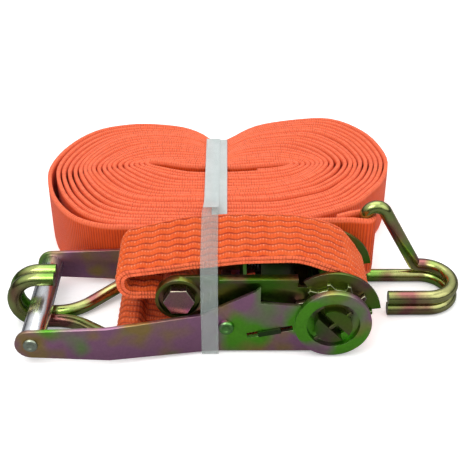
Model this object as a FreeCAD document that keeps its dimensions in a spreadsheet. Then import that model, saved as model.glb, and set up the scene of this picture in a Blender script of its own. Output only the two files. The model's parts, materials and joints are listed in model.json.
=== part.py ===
"""Ratchet tie down, 50 mm wide handle type, packed for storage.

The ratchet lies folded on its handle. Its short strap is folded over the frame, passes
round the spindle end and runs back under the handle to a double wire J hook, which is
hooked round the grip. The long strap stands on edge behind it in a two lobed roll, with
its own hook, and a woven band holds everything together.

Frame while building: X along the handle (grip towards -X), Y across the ratchet, Z up,
spindle axis above X = 0, Y = 0. The finished pieces are shifted so that the origin is
the centre of the bottom of the bounding box.
"""
import FreeCAD, Part
import Sketcher
import math
import os

from FreeCAD import Placement, Rotation, Vector

doc = FreeCAD.newDocument("ratchet_tie_down")

# ---------------------------------------------------------------- driving dimensions
SIZES = {
    # webbing
    "webbing_width": 50.0,
    "webbing_thickness": 2.8,
    "sewn_thickness": 5.8,          # two layers sewn together
    "soft_clearance": 0.4,          # free space between webbing and what it wraps
    # spindle and its place above the floor
    "spindle_height": 28.5,
    "rod_radius": 13.0,             # two D shaped rods inside one circle
    "rod_slot": 6.0,                # slot between the two rods
    "slot_tilt": -47.0,             # direction of the slot, degrees from +X
    "rod_overhang": 2.0,            # rod end beyond the handle boss
    "running_clearance": 0.06,      # radial, rods in their plates
    "cotter_radius": 1.5,
    "cotter_length": 33.0,
    "cotter_inset": 2.0,            # pin centre from the rod end
    # ratchet wheels
    "wheel_thickness": 3.6,
    "wheel_tip_radius": 28.0,
    "wheel_root_radius": 23.5,
    "wheel_teeth": 12,
    "tooth_lead": 7.5,              # degrees from the pawl line to a tooth face
    "tooth_tip": 5.0,               # degrees across the tip
    "tooth_back": 19.0,             # degrees to the foot of the sloping back
    "tooth_sink": 2.0,              # how far teeth run into the disc
    "side_clearance": 0.3,          # axial gap between neighbouring sheets
    "washer_thickness": 0.8,
    "washer_radius": 17.5,
    # frame
    "frame_gap": 52.0,              # inside, between the two frame plates
    "frame_sheet": 2.5,
    "frame_rise": 32.5,             # top of the web above the spindle
    "frame_drop": 1.5,              # bottom of the web below the spindle
    "flange_start": -78.5,
    "flange_end": -24.7,
    "flange_reach": 4.4,
    "cam_radius": 34.3,
    "cam_first": 8.0,               # degrees, where the cam steps down
    "cam_last": 127.0,
    "collar_radius": 23.2,
    "land_radius": 28.3,            # where the handle pawl rests when folded
    "land_half": 5.0,
    # bolt of the short strap
    "bolt_reach": 106.0,
    "bolt_rise": 16.0,              # above the spindle
    "bolt_radius": 6.0,
    "bolt_flats": 19.0,
    "bolt_head": 7.5,
    "nut_height": 10.0,
    "bolt_tail": 3.0,
    "ear_radius": 16.4,
    "ear_rim": 2.2,                 # raised rim round the ear
    "spacer_radius": 9.0,
    # pawls, their slots, springs and seats: distances from the spindle axis
    "pawl_angle": 12.0,             # above or below the handle line
    "pawl_thickness": 4.0,
    "pawl_nose": 2.4,
    "slot_clearance": 0.25,
    "slot_end_room": 1.0,           # beyond the end of the pawl travel
    "frame_pawl_front": 24.5,
    "frame_pawl_length": 25.5,
    "frame_pawl_travel": 6.5,
    "handle_pawl_front": 28.7,
    "handle_pawl_length": 24.0,
    "handle_pawl_travel": 7.0,
    "pawl_ear_start": 8.0,          # ears begin this far behind the nose
    "pawl_proud": 1.6,              # ear end beyond the handle plate
    "pawl_lip": 7.0,                # finger lip at the rear edge
    "spring_length": 11.6,
    "spring_radius": 3.2,
    "spring_wire": 0.5,
    "spring_offset": 15.0,
    "seat_thickness": 2.5,
    "seat_height": 10.0,
    # handle
    "handle_sheet": 3.0,
    "handle_boss_height": 5.0,
    "handle_boss_radius": 26.5,
    "handle_boss_inner": 18.5,
    "handle_neck_radius": 24.0,     # plate behind the boss
    "handle_flare": 12.7,           # how much wider each side is at the grip
    "flare_start": -85.0,
    "flare_end": -155.0,
    "grip_reach": 208.0,
    "grip_hook_gap": 0.1,
    "grip_radius": 8.4,
    "grip_end_radius": 11.0,
    "tenon_radius": 4.3,
    "tenon_proud": 0.5,
    "waist_reach": 89.0,
    "waist_top": 34.2,
    "waist_bottom": 2.3,
    "horn_root_reach": 78.6,
    "horn_root_top": 40.2,
    "horn_reach": 50.2,
    "horn_top": 56.8,
    "horn_back": 53.5,
    "neck_top": 43.5,
    "neck_rise": 10.9,              # top of the neck above the spindle
    "cross_rod_reach": 73.9,
    "cross_rod_drop": 5.0,          # below the spindle
    "cross_rod_radius": 4.0,
    "rivet_radius": 4.9,
    "rivet_height": 1.5,
    # hooks
    "hook_wire": 5.0,               # radius of the wire
    "hook_corner_inside": 3.0,
    "hook_corner_cover": 1.5,       # how far the webbing reaches into each corner
    "hook_pair_gap": 0.1,
    "left_hook_bar_reach": 144.0,
    "left_hook_bend": 18.7,
    "left_hook_tip": 196.0,
    "left_hook_neck": 186.0,
    "right_hook_bar_x": 31.0,
    "right_hook_bar_lead": 1.1,     # bar centre in front of the roll
    "right_hook_bend": 21.0,
    "right_hook_reach": 97.0,
    "right_hook_neck": 73.0,
    "right_hook_tip": 46.0,
    # long strap, rolled
    "roll_left": -222.0,
    "roll_right": 65.0,
    "roll_gap": 1.3,                # between the flared handle and the roll
    "roll_back_left": 227.0,
    "roll_back_right": 238.0,
    "roll_pinch_x": -81.0,
    "roll_pinch_y": 189.0,
    "roll_pinch_half": 20.0,
    "roll_pinch_bend": 6.0,
    "roll_shoulder_bend": 22.0,
    "roll_left_front_bend": 66.0,
    "roll_left_back_bend": 76.0,
    "roll_right_back_bend": 66.0,
    "roll_right_front_bend": 30.0,
    "roll_right_front_rise": 66.0,
    "roll_right_front_run": 55.0,
    "roll_right_front_step": 7.0,
    "tail_back": 72.0,              # where the tail leaves the roll, from its right end
    "tail_step": 12.5,
    # short strap
    "fold_reach": 149.3,
    "fold_bottom": 42.6,
    "fold_top": 61.0,
    "arch_height": 74.0,
    "arch_left": 64.0,
    "arch_left_sag": 0.8,
    "arch_left_bend": 120.0,
    "arch_right": 24.0,
    "arch_right_bend": 60.0,
    "arch_end": 4.0,
    "arch_end_fall": 4.5,
    "turn_gap": 0.5,                # between the sewn run and the turn
    "turn_shoulder": 14.0,
    "turn_shoulder_fall": 13.0,
    "turn_shoulder_bend": 14.0,
    "turn_side_rise": 12.0,         # above the spindle
    "turn_side_bend": 24.0,
    "turn_slack": 2.0,
    "turn_return": 8.0,
    "under_gap": 0.6,               # between neighbouring runs below the handle
    "eye_stub": 20.0,
    "under_height": 1.2,            # underside of the webbing below the handle
    # band
    "band_x": -85.2,
    "band_width": 12.0,
    "band_thickness": 0.35,
    "band_groove": 1.0,
    "band_gap": 0.05,
    "band_far_slack": 3.0,
    "band_near_slack": 2.0,
    "band_flange_slack": 1.5,
    "band_tilt": 1.0,
}

sheet = doc.addObject("Spreadsheet::Sheet", "sizes")
for row, (alias, value) in enumerate(SIZES.items(), start=1):
    sheet.set("A%d" % row, alias)
    sheet.set("B%d" % row, repr(value))
    sheet.setAlias("B%d" % row, alias)
doc.recompute()


def size(alias):
    """One driving dimension, read back from the sheet."""
    return float(getattr(sheet, alias))


def value_of(text):
    """The value of an expression that names cells of the sheet."""
    value = sheet.evalExpression(text)
    return float(getattr(value, "Value", value))


H = size("spindle_height")
FRAME_TOP = "sizes.spindle_height + sizes.frame_rise"
FRAME_OUT = "sizes.frame_gap / 2 + sizes.frame_sheet"
HANDLE_IN = FRAME_OUT + " + 2 * sizes.side_clearance + sizes.wheel_thickness + sizes.washer_thickness"
CROSS_ROD_UP = "sizes.spindle_height - sizes.cross_rod_drop"
GRIP_UP = "2 * sizes.hook_wire + sizes.grip_radius + sizes.grip_hook_gap"
LEFT, RIGHT = -1, 1

# ---------------------------------------------------------------- places across Y
frame_in = size("frame_gap") / 2
frame_out = frame_in + size("frame_sheet")
wheel_in = frame_out + size("side_clearance")
wheel_out = wheel_in + size("wheel_thickness")
washer_in = wheel_out + size("side_clearance") / 2
washer_out = washer_in + size("washer_thickness")
handle_in = washer_out + size("side_clearance") / 2
handle_out = handle_in + size("handle_sheet")
boss_out = handle_out + size("handle_boss_height")
rod_end = boss_out + size("rod_overhang")
grip_in = handle_in + size("handle_flare")
grip_out = handle_out + size("handle_flare")

spindle_axis = Vector(0, 0, H)
bolt_axis = Vector(-size("bolt_reach"), 0, H + size("bolt_rise"))
grip_axis = Vector(-size("grip_reach"), 0, value_of(GRIP_UP))

finished = []


def bind(obj, **expressions):
    """Tie properties of an object to cells of the sheet."""
    for prop, text in expressions.items():
        obj.setExpression(prop, text)


def role_plane(body, role):
    """One of the origin planes of a body."""
    return next(f for f in body.Origin.OriginFeatures if f.Role == role)


def new_body(label):
    """An empty body with its own label."""
    body = doc.addObject("PartDesign::Body", label)
    body.Label = label
    return body


def new_sketch(body, name, role="XZ_Plane"):
    """A sketch on an origin plane of the body."""
    sketch = body.newObject("Sketcher::SketchObject", name)
    sketch.AttachmentSupport = [(role_plane(body, role), "")]
    sketch.MapMode = "FlatFace"
    return sketch


def add_circle(sketch, across, up, radius):
    """A circle whose centre and radius are bound to cells."""
    x, y, r = value_of(across), value_of(up), value_of(radius)
    geo = sketch.addGeometry(Part.Circle(Vector(x, y, 0), Vector(0, 0, 1), r))
    rules = (("Radius", (geo, r), radius),
             ("DistanceX", (-1, 1, geo, 3, x), across),
             ("DistanceY", (-1, 1, geo, 3, y), up))
    for kind, arguments, text in rules:
        number = sketch.addConstraint(Sketcher.Constraint(kind, *arguments))
        sketch.setExpression("Constraints[%d]" % number, text)


def add_polygon(sketch, corners):
    """A closed outline of straight lines, each corner bound to cells."""
    places = [(value_of(a), value_of(b)) for a, b in corners]
    count = len(places)
    first = len(sketch.Geometry)
    for i, (x, y) in enumerate(places):
        nx, ny = places[(i + 1) % count]
        sketch.addGeometry(Part.LineSegment(Vector(x, y, 0), Vector(nx, ny, 0)))
    for i in range(count):
        sketch.addConstraint(Sketcher.Constraint(
            "Coincident", first + i, 2, first + (i + 1) % count, 1))
    for i, ((across, up), (x, y)) in enumerate(zip(corners, places)):
        rules = (("DistanceX", x, across), ("DistanceY", y, up))
        for kind, number_value, text in rules:
            number = sketch.addConstraint(
                Sketcher.Constraint(kind, -1, 1, first + i, 1, number_value))
            sketch.setExpression("Constraints[%d]" % number, text)


def pad(body, name, length, role="XZ_Plane", circles=(), polygons=(), outward=False):
    """Pad outlines away from the sketch plane; XZ pads grow towards +Y."""
    sketch = new_sketch(body, name + "_sketch", role)
    for circle in circles:
        add_circle(sketch, *circle)
    for corners in polygons:
        add_polygon(sketch, corners)
    feature = body.newObject("PartDesign::Pad", name)
    feature.Profile = sketch
    feature.Reversed = (role == "XZ_Plane") != outward
    feature.setExpression("Length", length)
    sketch.Visibility = False
    doc.recompute()
    return feature


def pocket(body, name, circles=(), polygons=(), role="XZ_Plane"):
    """Cut outlines right through, both ways from the sketch plane."""
    sketch = new_sketch(body, name + "_sketch", role)
    for circle in circles:
        add_circle(sketch, *circle)
    for corners in polygons:
        add_polygon(sketch, corners)
    feature = body.newObject("PartDesign::Pocket", name)
    feature.Profile = sketch
    feature.Type = "ThroughAll"
    feature.Midplane = True
    doc.recompute()
    return feature


def finish(obj, placement=None):
    """Keep an object as a finished piece, at its place."""
    if placement is not None:
        obj.Placement = placement
    finished.append(obj)
    return obj


def shape_piece(label, shape):
    """A piece whose shape is made with Part's own functions."""
    obj = doc.addObject("Part::Feature", label)
    obj.Label = label
    obj.Shape = shape
    return finish(obj)


def boolean(kind, label, base, tool):
    """A Part boolean of two objects."""
    obj = doc.addObject("Part::" + kind, label)
    obj.Label = label
    obj.Base = base
    obj.Tool = tool
    doc.recompute()
    return obj


def cylinder(label, radius, height, centre, start):
    """A cylinder along +Y whose first face is at Y = start."""
    obj = doc.addObject("Part::Cylinder", label)
    obj.Label = label
    bind(obj, Radius=radius)
    obj.Height = height
    obj.Placement = Placement(Vector(centre.x, start, centre.z), Rotation(Vector(1, 0, 0), -90))
    return obj


def polar(reach, angle, offset="0"):
    """Expressions of a point seen from the side: out along an angle, then square to it."""
    across = "(%s) * cos(%s) - (%s) * sin(%s)" % (reach, angle, offset, angle)
    up = "sizes.spindle_height + (%s) * sin(%s) + (%s) * cos(%s)" % (reach, angle, offset, angle)
    return across, up


def radial_strip(first, last, half, angle):
    """Corners of a strip that points at the spindle axis."""
    places = ((first, "-(%s)" % half), (last, "-(%s)" % half), (last, half), (first, half))
    return [polar(reach, angle, offset) for reach, offset in places]


FRAME_PAWL_WAY = "(180 - sizes.pawl_angle)"
HANDLE_PAWL_WAY = "(180 + sizes.pawl_angle)"
BOLT_PLACE = ("-sizes.bolt_reach", "sizes.spindle_height + sizes.bolt_rise")
SPINDLE_PLACE = ("0", "sizes.spindle_height")
SLOT_HALF = "sizes.pawl_thickness / 2 + sizes.slot_clearance"


# ---------------------------------------------------------------- frame plates
def frame_plate(label, side):
    """Side plate: ear for the bolt, web with a turned out flange, cam round the spindle."""
    body = new_body(label)
    thickness = "sizes.frame_sheet"
    far = "2 * sizes.cam_radius"
    pad(body, "cam", thickness, circles=[SPINDLE_PLACE + ("sizes.cam_radius",)])
    unused = [SPINDLE_PLACE, polar(far, "sizes.cam_last"), ("-2 * (%s)" % far, "2 * (%s)" % far),
              ("-2 * (%s)" % far, "-2 * (%s)" % far), ("2 * (%s)" % far, "-2 * (%s)" % far),
              polar(far, "sizes.cam_first")]
    pocket(body, "cam_end", polygons=[unused])
    pad(body, "collar", thickness, circles=[SPINDLE_PLACE + ("sizes.collar_radius",)])
    pad(body, "closing_land", thickness, polygons=[
        radial_strip("0", "sizes.land_radius", "sizes.land_half", HANDLE_PAWL_WAY)])
    pad(body, "ear", thickness, circles=[BOLT_PLACE + ("sizes.ear_radius",)])
    web = [("-sizes.bolt_reach", BOLT_PLACE[1] + " + sizes.ear_radius"),
           ("sizes.flange_start", FRAME_TOP), ("sizes.flange_end", FRAME_TOP),
           ("sizes.flange_end", "sizes.spindle_height + sizes.collar_radius"),
           ("0", "sizes.spindle_height + sizes.collar_radius"),
           ("0", "sizes.spindle_height - sizes.frame_drop"),
           ("-sizes.bolt_reach", BOLT_PLACE[1] + " - sizes.ear_radius")]
    pad(body, "web", thickness, polygons=[web])
    flange = [("sizes.flange_start", FRAME_TOP + " - sizes.frame_sheet"),
              ("sizes.flange_end", FRAME_TOP + " - sizes.frame_sheet"),
              ("sizes.flange_end", FRAME_TOP), ("sizes.flange_start", FRAME_TOP)]
    rim = [BOLT_PLACE + ("sizes.ear_radius",), BOLT_PLACE + ("sizes.ear_radius - sizes.ear_rim",)]
    if side == LEFT:
        pad(body, "flange", "sizes.flange_reach", polygons=[flange], outward=True)
        pad(body, "rim", "sizes.flange_reach", circles=rim, outward=True)
    else:
        reach = "sizes.frame_sheet + sizes.flange_reach"
        pad(body, "flange", reach, polygons=[flange])
        pad(body, "rim", reach, circles=rim)
    pocket(body, "openings", circles=[
        SPINDLE_PLACE + ("sizes.rod_radius + sizes.running_clearance",),
        BOLT_PLACE + ("sizes.bolt_radius",)])
    pocket(body, "pawl_slot", polygons=[radial_strip(
        "sizes.frame_pawl_front - sizes.slot_clearance",
        "sizes.frame_pawl_front + sizes.frame_pawl_length + sizes.frame_pawl_travel + sizes.slot_end_room",
        SLOT_HALF, FRAME_PAWL_WAY)])
    start = -frame_out if side == LEFT else frame_in
    return finish(body, Placement(Vector(0, start, 0), Rotation()))


frame_plate("frame_plate_near", LEFT)
frame_plate("frame_plate_far", RIGHT)


# ---------------------------------------------------------------- bolt, nut and spacer
def hexagon_place(start):
    """Placement of a hexagonal prism that grows along +Y from Y = start."""
    turn = Rotation(Vector(1, 0, 0), -90)
    return Placement(Vector(bolt_axis.x, start, bolt_axis.z), turn)


def hexagon(label, height, start):
    """A hexagonal prism on the bolt axis."""
    prism = doc.addObject("Part::Prism", label)
    bind(prism, Circumradius="sizes.bolt_flats / sqrt(3)", Height=height)
    prism.Polygon = 6
    prism.Placement = hexagon_place(start)
    return prism


head = hexagon("bolt_head_prism", "sizes.bolt_head", -frame_out - size("bolt_head"))
shank_length = frame_out * 2 + size("nut_height") + size("bolt_tail")
shank = cylinder("bolt_shank", "sizes.bolt_radius", shank_length, bolt_axis, -frame_out)
finish(boolean("Fuse", "frame_bolt", head, shank))
nut_blank = hexagon("nut_blank", "sizes.nut_height", frame_out)
nut_bore = cylinder("nut_bore", "sizes.bolt_radius", size("nut_height"), bolt_axis, frame_out)
finish(boolean("Cut", "bolt_nut", nut_blank, nut_bore))
spacer_tube = cylinder("spacer_tube", "sizes.spacer_radius", size("frame_gap"), bolt_axis, -frame_in)
spacer_bore = cylinder("spacer_bore", "sizes.bolt_radius", size("frame_gap"), bolt_axis, -frame_in)
finish(boolean("Cut", "bolt_spacer", spacer_tube, spacer_bore))


# ---------------------------------------------------------------- spindle
def turned_box(label, length, width, height, centre, angle):
    """A box centred on a point, turned about Y so that its length runs at an angle."""
    box = doc.addObject("Part::Box", label)
    box.Length, box.Width, box.Height = length, width, height
    turn = Rotation(Vector(0, -1, 0), angle)
    corner = turn.multVec(Vector(-length / 2, -width / 2, -height / 2))
    box.Placement = Placement(centre + corner, turn)
    return box


pin_y = rod_end - size("cotter_inset")
across_slot = size("slot_tilt") + 90


def across_slot_pin(label, centre_y, radius):
    """A pin through both rods, square to their slot."""
    pin = doc.addObject("Part::Cylinder", label)
    pin.Label = label
    bind(pin, Radius=radius, Height="sizes.cotter_length")
    angle = math.radians(across_slot)
    way = Vector(math.cos(angle), 0, math.sin(angle))
    start = Vector(0, centre_y, H) - way * (size("cotter_length") / 2)
    pin.Placement = Placement(start, Rotation(Vector(0, 0, 1), way))
    return pin


def spindle_rod(label, side):
    """One D shaped rod with a cross hole at each end."""
    half = size("rod_slot") / 2
    depth = size("rod_radius")
    angle = math.radians(across_slot)
    middle = side * (half + depth / 2)
    centre = Vector(middle * math.cos(angle), 0, H + middle * math.sin(angle))
    blank = cylinder(label + "_blank", "sizes.rod_radius", 2 * rod_end, spindle_axis, -rod_end)
    block = turned_box(label + "_side", 2 * depth, 2 * rod_end, depth, centre, size("slot_tilt"))
    rod = boolean("Common", label + "_half", blank, block)
    for name, place in (("near", -pin_y), ("far", pin_y)):
        drill = across_slot_pin("%s_hole_%s" % (label, name), place,
                                "sizes.cotter_radius")
        rod = boolean("Cut", "%s_cut_%s" % (label, name), rod, drill)
    rod.Label = label
    return finish(rod)


spindle_rod("spindle_rod_upper", RIGHT)
spindle_rod("spindle_rod_lower", LEFT)
finish(across_slot_pin("cotter_pin_near", -pin_y, "sizes.cotter_radius"))
finish(across_slot_pin("cotter_pin_far", pin_y, "sizes.cotter_radius"))

TOOTH_FACE = "(180 - sizes.pawl_angle - sizes.tooth_lead)"


def ratchet_wheel(label, start):
    """Toothed wheel with two D shaped openings for the rods."""
    body = new_body(label)
    pad(body, "disc", "sizes.wheel_thickness", circles=[("0", "0", "sizes.wheel_root_radius")])
    inner = "sizes.wheel_root_radius - sizes.tooth_sink"
    tooth = [(inner, TOOTH_FACE), ("sizes.wheel_tip_radius", TOOTH_FACE),
             ("sizes.wheel_tip_radius", TOOTH_FACE + " - sizes.tooth_tip"),
             (inner, TOOTH_FACE + " - sizes.tooth_back")]
    corners = [("(%s) * cos(%s)" % place, "(%s) * sin(%s)" % place) for place in tooth]
    blade = pad(body, "tooth", "sizes.wheel_thickness", polygons=[corners])
    ring = body.newObject("PartDesign::PolarPattern", "teeth")
    ring.Originals = [blade]
    ring.Axis = (role_plane(body, "Y_Axis"), [""])
    ring.Angle = 360
    ring.setExpression("Occurrences", "sizes.wheel_teeth")
    body.Tip = ring
    doc.recompute()
    pocket(body, "bore", circles=[("0", "0", "sizes.rod_radius")])
    half = "sizes.rod_slot / 2"
    reach = "sizes.rod_radius + 1"
    way = "sizes.slot_tilt"
    web = [("(%s) * cos(%s) - (%s) * sin(%s)" % (a, way, b, way),
            "(%s) * sin(%s) + (%s) * cos(%s)" % (a, way, b, way))
           for a, b in (("-(%s)" % reach, "-" + half), (reach, "-" + half),
                        (reach, half), ("-(%s)" % reach, half))]
    pad(body, "bridge", "sizes.wheel_thickness", polygons=[web])
    return finish(body, Placement(Vector(0, start, H), Rotation()))


ratchet_wheel("ratchet_wheel_near", -wheel_out)
ratchet_wheel("ratchet_wheel_far", wheel_in)


def washer(label, start):
    """Thin washer between a wheel and a handle plate."""
    thickness = size("washer_thickness")
    disc = cylinder(label + "_disc", "sizes.washer_radius", thickness, spindle_axis, start)
    bore = cylinder(label + "_bore", "sizes.rod_radius", thickness, spindle_axis, start)
    return finish(boolean("Cut", label, disc, bore))


washer("spindle_washer_near", -washer_out)
washer("spindle_washer_far", washer_in)


# ---------------------------------------------------------------- pawls, springs and seats
def pawl(label, way, front, length, half_body, half_ear):
    """Spring pawl: tapered nose, ears for the plate slots and a finger lip behind."""
    body = new_body(label)
    nose = "sizes.pawl_nose / 2"
    half = "sizes.pawl_thickness / 2"
    shoulder = "(%s) + sizes.pawl_thickness" % front
    rear = "(%s) + (%s)" % (front, length)
    ear = "(%s) + sizes.pawl_ear_start" % front
    outline = [polar(front, way, "-(%s)" % nose), polar(shoulder, way, "-(%s)" % half),
               polar(rear, way, "-(%s)" % half), polar(rear, way, half),
               polar(shoulder, way, half), polar(front, way, nose)]
    blade = pad(body, "blade", "2 * (%s)" % half_body, polygons=[outline])
    blade.Midplane = True
    ears = pad(body, "ears", "2 * (%s)" % half_ear, polygons=[radial_strip(ear, rear, half, way)])
    ears.Midplane = True
    lip_front = "(%s) - sizes.pawl_thickness / 2" % rear
    lip = [polar(lip_front, way, half), polar(rear, way, half),
           polar(rear, way, "(%s) + sizes.pawl_lip" % half),
           polar(lip_front, way, "(%s) + sizes.pawl_lip" % half)]
    tab = pad(body, "lip", "sizes.spring_offset", polygons=[lip])
    tab.Midplane = True
    doc.recompute()
    return finish(body)


half_pawl = FRAME_OUT + " + 2 * sizes.side_clearance + sizes.wheel_thickness"
pawl("frame_pawl", FRAME_PAWL_WAY, "sizes.frame_pawl_front", "sizes.frame_pawl_length",
     half_pawl, half_pawl)
pawl("handle_pawl", HANDLE_PAWL_WAY, "sizes.handle_pawl_front", "sizes.handle_pawl_length",
     half_pawl, HANDLE_IN + " + sizes.handle_sheet + sizes.pawl_proud")


def way_vector(text):
    """Unit vector away from the spindle at an angle expression."""
    angle = math.radians(value_of(text))
    return Vector(math.cos(angle), 0, math.sin(angle))


def spring_pair(label, way, start):
    """Two compression springs side by side, between a pawl and its seat."""
    direction = way_vector(way)
    radius = size("spring_radius")
    wire = size("spring_wire")
    height = size("spring_length") - 2 * wire
    coils = []
    for side in (LEFT, RIGHT):
        helix = Part.makeHelix(height / 5, height, radius)
        circle = Part.Wire(Part.makeCircle(wire, Vector(radius, 0, 0), Vector(0, 1, 0)))
        coil = Part.Wire(helix.Edges).makePipeShell([circle], True, True)
        place = Vector(0, side * size("spring_offset"), H) + direction * (start + wire)
        coil.Placement = Placement(place, Rotation(Vector(0, 0, 1), direction))
        coils.append(coil)
    return shape_piece(label, Part.makeCompound(coils))


def spring_seat(label, way, start, half_width):
    """Cross plate that carries the pawl springs."""
    direction = way_vector(way)
    centre = Vector(0, 0, H) + direction * (start + size("seat_thickness") / 2)
    plate = turned_box(label, size("seat_thickness"), 2 * half_width, size("seat_height"),
                       centre, value_of(way))
    plate.Label = label
    return finish(plate)


frame_seat = size("frame_pawl_front") + size("frame_pawl_length") + size("spring_length")
handle_seat = size("handle_pawl_front") + size("handle_pawl_length") + size("spring_length")
spring_pair("frame_pawl_springs", FRAME_PAWL_WAY, frame_seat - size("spring_length"))
spring_pair("handle_pawl_springs", HANDLE_PAWL_WAY, handle_seat - size("spring_length"))
spring_seat("frame_spring_seat", FRAME_PAWL_WAY, frame_seat, frame_in)
spring_seat("handle_spring_seat", HANDLE_PAWL_WAY, handle_seat, handle_in)


# ---------------------------------------------------------------- handle
def handle_outline(label):
    """Side view of a handle plate, as thick as the whole flare."""
    body = new_body(label)
    depth = "sizes.handle_flare + sizes.handle_sheet"
    grip_place = ("-sizes.grip_reach", GRIP_UP)
    pad(body, "grip_end", depth, circles=[grip_place + ("sizes.grip_end_radius",)])
    pad(body, "spindle_end", depth, circles=[SPINDLE_PLACE + ("sizes.handle_neck_radius",)])
    outline = [("-sizes.grip_reach", GRIP_UP + " - sizes.grip_end_radius"),
               ("sizes.flare_end", "2 * sizes.waist_bottom"),
               ("-sizes.waist_reach", "sizes.waist_bottom"),
               ("0", "sizes.spindle_height - sizes.handle_boss_radius"), SPINDLE_PLACE,
               ("0", "sizes.spindle_height + sizes.neck_rise"),
               ("-sizes.horn_reach", "sizes.neck_top"), ("-sizes.horn_reach", "sizes.horn_top"),
               ("-sizes.horn_back", "sizes.horn_top - (sizes.horn_back - sizes.horn_reach)"),
               ("-sizes.horn_root_reach", "sizes.horn_root_top"),
               ("-sizes.waist_reach", "sizes.waist_top"),
               ("-sizes.grip_reach", GRIP_UP + " + sizes.grip_end_radius")]
    pad(body, "arm", depth, polygons=[outline])
    pocket(body, "holes", circles=[
        grip_place + ("sizes.tenon_radius",),
        ("-sizes.cross_rod_reach", CROSS_ROD_UP, "sizes.cross_rod_radius"),
        SPINDLE_PLACE + ("sizes.rod_radius + sizes.running_clearance",)])
    pocket(body, "pawl_slot", polygons=[radial_strip(
        "sizes.handle_pawl_front - 2 * sizes.slot_clearance",
        "sizes.handle_pawl_front + sizes.handle_pawl_length + sizes.handle_pawl_travel"
        " + sizes.slot_end_room",
        SLOT_HALF, HANDLE_PAWL_WAY)])
    return body


def flare_strip(label, side):
    """The bent strip that the handle plate is cut from, as a tall slab."""
    body = new_body(label)
    s = "%d * " % side
    flare = " + sizes.handle_flare)"
    inner = s + "(" + HANDLE_IN
    outer = s + "(" + HANDLE_IN + " + sizes.handle_sheet"
    far_left = "-sizes.grip_reach - 2 * sizes.grip_end_radius"
    far_right = "2 * sizes.spindle_height"
    corners = [(far_left, outer + flare), ("sizes.flare_end", outer + flare),
               ("sizes.flare_start", outer + ")"), (far_right, outer + ")"),
               (far_right, inner + ")"), ("sizes.flare_start", inner + ")"),
               ("sizes.flare_end", inner + flare), (far_left, inner + flare)]
    pad(body, "slab", "2 * sizes.horn_top", role="XY_Plane", polygons=[corners])
    body.Placement = Placement(Vector(0, 0, -size("horn_top") / 2), Rotation())
    return body


def handle_plate(label, side):
    """Flared side plate with an embossed ring round the spindle."""
    outline = handle_outline(label + "_outline")
    start = -grip_out if side == LEFT else handle_in
    outline.Placement = Placement(Vector(0, start, 0), Rotation())
    strip = flare_strip(label + "_strip", side)
    plate = boolean("Common", label + "_plate", outline, strip)
    ring_start = -boss_out if side == LEFT else handle_out
    height = size("handle_boss_height")
    disc = cylinder(label + "_disc", "sizes.handle_boss_radius", height, spindle_axis, ring_start)
    bore = cylinder(label + "_bore", "sizes.handle_boss_inner", height, spindle_axis, ring_start)
    ring = boolean("Cut", label + "_ring", disc, bore)
    return finish(boolean("Fuse", label, plate, ring))


handle_plate("handle_plate_near", LEFT)
handle_plate("handle_plate_far", RIGHT)


def stepped_rod(label, centre, radius, half, end_radius, end_half):
    """A round bar with a smaller or larger end on each side."""
    bar = cylinder(label + "_bar", radius, 2 * half, centre, -half)
    ends = []
    for name, start in (("near", -end_half), ("far", half)):
        ends.append(cylinder("%s_%s_end" % (label, name), end_radius, end_half - half, centre, start))
    fused = boolean("Fuse", label + "_first", bar, ends[0])
    return finish(boolean("Fuse", label, fused, ends[1]))


stepped_rod("grip_bar", grip_axis, "sizes.grip_radius", grip_in,
            "sizes.tenon_radius", grip_out + size("tenon_proud"))
cross_axis = Vector(-size("cross_rod_reach"), 0, value_of(CROSS_ROD_UP))
stepped_rod("handle_cross_rod", cross_axis, "sizes.cross_rod_radius", handle_out,
            "sizes.rivet_radius", handle_out + size("rivet_height"))


# ---------------------------------------------------------------- bent wire and webbing
def bent_path(points, radii):
    """Edges of a path of straight runs joined by tangent arcs."""
    edges = []
    last = points[0]
    for i in range(1, len(points) - 1):
        before = (points[i - 1] - points[i]).normalize()
        after = (points[i + 1] - points[i]).normalize()
        turn = math.pi - before.getAngle(after)
        radius = radii[i - 1]
        setback = radius * math.tan(turn / 2)
        start = points[i] + before * setback
        end = points[i] + after * setback
        bisector = (before + after).normalize()
        middle = points[i] + bisector * (radius / math.cos(turn / 2) - radius)
        if (start - last).Length > 1e-6:
            edges.append(Part.LineSegment(last, start).toShape())
        edges.append(Part.Arc(start, middle, end).toShape())
        last = end
    if (points[-1] - last).Length > 1e-6:
        edges.append(Part.LineSegment(last, points[-1]).toShape())
    return Part.Wire(edges)


def bent_wire(label, points, radii):
    """Round wire along a path of runs and arcs."""
    path = bent_path(points, radii)
    way = points[1] - points[0]
    circle = Part.Wire(Part.makeCircle(size("hook_wire"), points[0], way))
    return shape_piece(label, path.makePipeShell([circle], True, False))


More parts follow.
